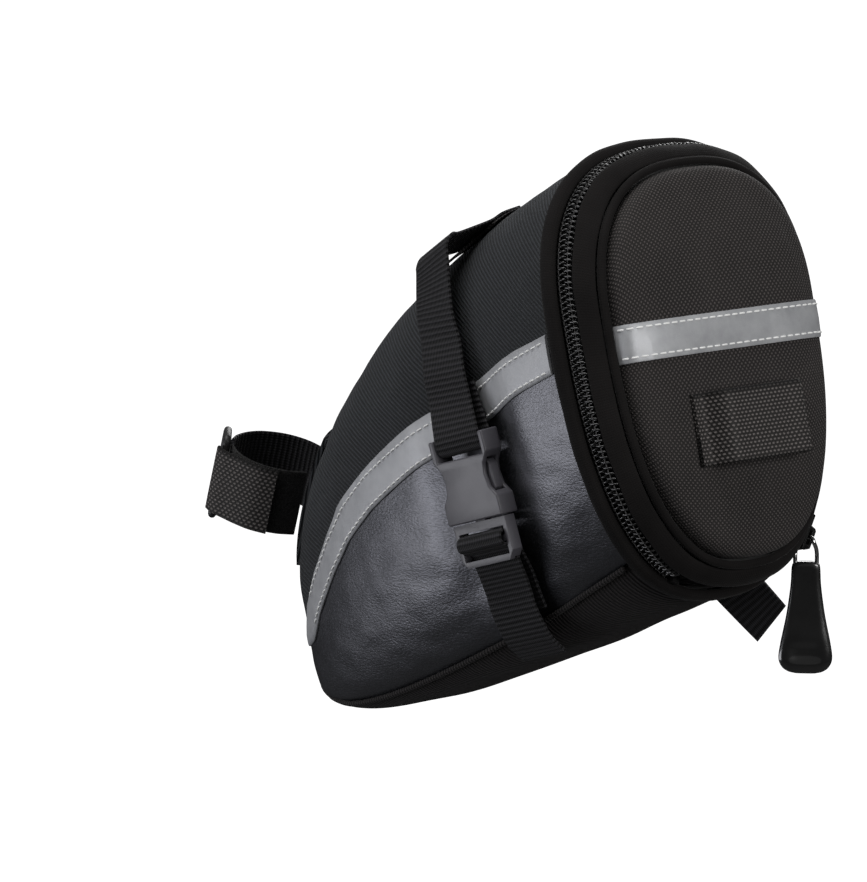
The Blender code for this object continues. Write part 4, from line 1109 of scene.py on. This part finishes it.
def make_lower_strap(side):
    """From the bottom seam up behind the male half's middle bar."""
    _, across, outward, _ = buckle_axes()
    stations = []
    for z, lift in ((-58.0, 1.4), (-54.5, 1.3), (-51.0, 1.5), (-47.0, 1.7)):
        point, ahead, normal = strap_station(z, lift)
        stations.append((point, ahead.normalized() - across * 0.6, normal))
    stations.append((to_bag((0, BUCKLE_LIFT + 0.6, -21.0)), -across, outward))
    stations.append((to_bag((0, BUCKLE_LIFT + 0.6, -16.6)), -across, outward))
    made = side_webbing(side, same_way(stations)).stand_for(side + "_lower_strap", "webbing", None)
    to_world(flipped(to_bag((0, BUCKLE_LIFT + 0.6, -19.0)), side))
    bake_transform(made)


def make_strap_tail(side):
    """From over the male half's middle bar, under its end bar and down to the hemmed end."""
    _, across, outward, up = buckle_axes()
    bar_y = BUCKLE_LIFT + 4.1
    path = [(0, bar_y - 2.0, -16.2), (0, bar_y + 0.2, -15.9), (0, bar_y + 2.1, -16.9), (0, bar_y + 2.1, -19.4),
            (0, bar_y - 1.6, -21.2), (0, bar_y - 2.2, -25.0)]
    stations = []
    for point, step in zip(path, directions(path)):
        stations.append((to_bag(point), -across, outward * -step.z + up * step.y))
    if side == "left":
        for z, lift, shift in ((-51.0, 4.0, 0.0), (-56.0, 3.9, 0.3), (-61.0, 3.8, 0.6), (-65.0, 3.8, 1.2),
                               (-68.5, 3.6, 2.0)):
            point, _, normal = strap_station(z, lift, shift)
            stations.append((point, -across, normal))
    else:
        start = to_bag(path[-1])
        down = Vector((0.22, -0.54, -0.81)).normalized()
        for share in (0.22, 0.45, 0.72, 1.0):
            flare = (-across).lerp(Vector((0.87, 0.22, 0.43)), share)
            stations.append((start + down * (share * TAIL_RIGHT_LENGTH), flare, down.cross(flare)))
    side_webbing(side, same_way(stations)).stand_for(side + "_strap_tail", "webbing", side + "_release")


def make_buckles(side):
    rounded(side + "_female_buckle", "moulding", "bag", 0.45)
    rounded(side + "_male_buckle", "moulding", side + "_release", 0.3)
    for prong in (side + "_front", side + "_rear"):
        rounded(prong + "_prong", "moulding", prong + "_latch", 0.3)


# ---- slider and puller

def twisted(point, share=1.0):
    """A point of the puller, turned about its length by a share of the grip's turn."""
    angle = radians(PULLER_TURN_DEG) * share
    x, y, z = point
    return x * cos(angle) - y * sin(angle), x * sin(angle) + y * cos(angle), z


def make_slider_and_puller():
    rounded("zipper_slider", "cast", "slider", 0.2)
    pivot = BAG.inverted() @ Vector(JOINTS["puller_swing"]["pos_m"])
    upright = TILT.inverted()

    def hang(point):
        return pivot + upright @ Vector(point)

    half, drop, wire = 3.0, 8.0, 0.6
    left = [twisted((-half, 0, -drop)), twisted((-half, 0, -4.8)), twisted((-half, 0, -3.0), 0.5), (-half, 0, -1.4),
            (-half + 0.5, 0, -0.4), (-half + 1.4, 0, 0.0)]
    path = left + [(0.0, 0.0, 0.0)] + [(-x, -y, z) for x, y, z in reversed(left)]
    smooth = [hang(p[0]) for p in smooth_path([(Vector(q),) for q in path], 4)]
    tube(smooth, wire, 12).stand_for("puller_wire", "drawn", "puller")
    make_grip(hang)


def make_grip(hang):
    """The moulded grip, waisted and flaring to its rounded end, with a thumb hollow low on both faces."""
    outline = ((-6.9, 2.2, 1.0), (-7.3, 3.2, 1.4), (-8.4, 3.95, 1.6), (-14.0, 4.3, 1.7), (-22.0, 5.4, 1.9),
               (-30.0, 7.0, 2.3), (-34.2, 7.5, 2.3), (-36.6, 6.6, 2.0), (-37.9, 4.9, 1.5), (-38.4, 3.0, 0.9))
    rows = smooth_path([(Vector(p),) for p in outline], 7)
    sections = []
    for (row,) in rows:
        z, wide, thick = row
        section = []
        for angle in circle(48):
            x = wide * power(cos(angle), 0.62)
            y = thick * power(sin(angle), 0.62)
            hollow = exp(-(((z + 32.3) / 2.6) ** 4) - (x / 4.2) ** 4)
            groove = 0.45 * exp(-((x / (wide * 0.62)) ** 6)) * (1.0 if -30.0 < z < -9.0 else 0.0)
            y -= copysign(min(abs(y) * 0.55, hollow * 1.0 + groove * 0.5), y)
            section.append(hang(twisted((x, y, z))))
        sections.append(section)
    swept(sections).stand_for("puller_grip", "moulding", "puller")


# ---- seatpost strap

def post_axes():
    """Axis of the post, the direction forward from the nose to the post, and the post's centre."""
    lean = radians(POST_LEAN_DEG)
    axis = Vector((sin(lean), 0.0, cos(lean)))
    forward = Vector((-cos(lean), 0.0, sin(lean)))
    nose = shell_point(NOSE_STRAP_U, pi / 2)
    return axis, forward, nose + forward * (POST_R + 4.2)


def post_station(angle_deg, radius):
    """A place round the post: 0 faces the nose, 90 the left side, 180 the front."""
    axis, forward, centre = post_axes()
    angle = radians(angle_deg)
    out = forward * -cos(angle) + Vector((0.0, -1.0, 0.0)) * sin(angle)
    return centre + out * radius, axis, out


def make_seatpost_strap():
    inner = POST_R + 0.3 + 0.6
    near = [post_station(a, inner) for a in (14, 35, 56, 76, 95, 111, 126)]
    webbing(near).stand_for("seatpost_long_strap", "webbing", paint=TOUCH_FACE)
    far = [post_station(a, inner) for a in (-14, -35, -60, -85, -110, -135, -160, -180, -200, -216)]
    webbing(far).stand_for("seatpost_short_strap", "webbing")
    rows, turns = rows_between(0.012, 0.19, 24), rows_between(1.05, 2.09, 24)
    outer, inner = [[[on_shell(u, t, lift) for t in turns] for u in rows] for lift in (1.5, 0.3)]
    closed_sheet(outer, inner).stand_for("nose_patch", "cloth", paint=PAINTS["twill"])
    outer = [post_station(a, r) for a, r in ((118, 19.2), (108, 18.6), (96, 17.2), (82, 16.6), (64, 16.6), (46, 16.6))]
    webbing(outer).stand_for("seatpost_strap_tail", "webbing", "seatpost_tail", LOOP_WEBBING)
    make_seatpost_ring()


def make_seatpost_ring():
    """A wire-thin rectangular ring, 24 mm by 8.4 mm over its bars, with rounded corners."""
    middle, axis, out = post_station(133, 16.6)
    along = axis.cross(out)
    wire = 1.2
    path = []
    for p, q in ((-12.0, -4.2), (-12.0, 4.2), (12.0, 4.2), (12.0, -4.2)):
        for turn in range(5):
            angle = atan2(q, p) // (pi / 2) * (pi / 2) + turn * pi / 8
            corner = Vector((copysign(abs(p) - wire, p), copysign(abs(q) - wire, q)))
            corner += wire * Vector((cos(angle), sin(angle)))
            path.append((atan2(corner.y * 2.6, corner.x), middle + axis * corner.x + along * corner.y))
    path.sort(key=lambda entry: entry[0])
    tube([p for _, p in path], wire, 12, True).stand_for("seatpost_ring", "moulding", paint=RING_PLASTIC)


# ---- studio

CAMERA_AZIMUTH_DEG, CAMERA_ELEVATION_DEG = 46.0, 8.665
CAMERA_DISTANCE = 2.17439
CAMERA_SHIFT_RIGHT, CAMERA_SHIFT_UP = -0.06691, -0.019525
CAMERA_LENS = 322.4
FLOOR_Z = -0.8
BACKDROP, AMBIENT, FLOOR_GLOW = 1.02, 0.12, 0.45


def camera_axes():
    a, e = radians(CAMERA_AZIMUTH_DEG), radians(CAMERA_ELEVATION_DEG)
    back = Vector((sin(a) * cos(e), -cos(a) * cos(e), sin(e)))
    right = Vector((cos(a), sin(a), 0.0))
    return right, back.cross(right), back


def make_camera():
    right, up, back = camera_axes()
    target = BAG_ORIGIN + right * CAMERA_SHIFT_RIGHT + up * CAMERA_SHIFT_UP
    lens = bpy.data.cameras.new("photo_view")
    lens.lens = CAMERA_LENS
    lens.sensor_width = 36.0
    made = link("photo_view", lens)
    made.matrix_world = Matrix.Translation(target + back * CAMERA_DISTANCE) \
        @ Matrix((right, up, back)).transposed().to_4x4()
    bpy.context.scene.camera = made


def area_light(name, away, size, watts, colour=(1.0, 1.0, 1.0)):
    """A soft box at a distance away from the bag, which it faces."""
    lamp = bpy.data.lights.new(name, "AREA")
    lamp.shape = "RECTANGLE"
    lamp.size, lamp.size_y = size
    lamp.energy = watts
    lamp.color = colour
    made = link(name, lamp)
    made.location = BAG_ORIGIN + away
    made.rotation_euler = (-away).to_track_quat("-Z", "Y").to_euler()


def make_floor():
    """A pale floor that runs into the white of the backdrop."""
    shape = bmesh.new()
    bmesh.ops.create_grid(shape, x_segments=60, y_segments=60, size=30.0)
    mesh = bpy.data.meshes.new("studio_floor")
    shape.to_mesh(mesh)
    shape.free()
    paint = Paint("studio_floor", 0.1, Emission_Color=(1.0, 1.0, 1.0, 1.0))
    seen = paint.node("LightPath", "Is Camera Ray")
    x, y, _ = paint.axes(paint.place())
    fade = (x * x + y * y).math("SQRT").ramp(0.3, 1.6)
    paint.wire(fade.math("MULTIPLY_ADD", BACKDROP - FLOOR_GLOW, FLOOR_GLOW) * seen, "Emission Strength")
    mesh.materials.append(paint.finish(seen, grey(0.1), grey(0.88), paint.noise(2.0), (0.8, 0.9)))
    made = link("studio_floor", mesh)
    made.location = (0.0, 0.0, FLOOR_Z)


def make_world():
    """A white backdrop, which lights the bag only dimly."""
    world = bpy.data.worlds.new("studio")
    world.use_nodes = True
    tree = world.node_tree
    path = tree.nodes.new("ShaderNodeLightPath")
    share = tree.nodes.new("ShaderNodeMapRange")
    share.inputs["To Min"].default_value = AMBIENT
    share.inputs["To Max"].default_value = BACKDROP
    tree.links.new(path.outputs["Is Camera Ray"], share.inputs["Value"])
    tree.links.new(share.outputs["Result"], tree.nodes["Background"].inputs["Strength"])
    tree.nodes["Background"].inputs["Color"].default_value = (1.0, 1.0, 1.0, 1.0)
    bpy.context.scene.world = world


def make_studio():
    make_world()
    bpy.context.scene.view_settings.view_transform = "Standard"
    right, _, back = camera_axes()
    area_light("overhead", back * 0.15 - right * 0.35 + Vector((0.0, 0.0, 0.75)), (0.8, 0.6), 6.0)
    area_light("side", Vector((-0.8, -0.9, -0.33)), (1.0, 0.4), 5.6, (0.94, 0.95, 1.0))
    area_light("far_side", Vector((-0.75, 1.1, 0.55)), (0.8, 0.6), 7.0)
    area_light("rear", Vector((1.25, -0.1, 0.35)), (0.8, 0.6), 11.5)
    make_floor()


# ---- assembly

def main():
    make_camera()
    paint_frame()
    make_upper_panel()
    make_lower_panels()
    make_bottom_panel()
    make_side_tapes()
    make_seam_welts()
    make_opening()
    make_coils()
    make_lid_face()
    make_lid_edges()
    make_hinge_web()
    make_lid_tape()
    make_light_loop()
    for side in ("left", "right"):
        make_upper_strap(side)
        make_anchor_patch(side)
        make_lower_strap(side)
        make_strap_tail(side)
        make_buckles(side)
    make_slider_and_puller()
    make_seatpost_strap()
    make_studio()


main()
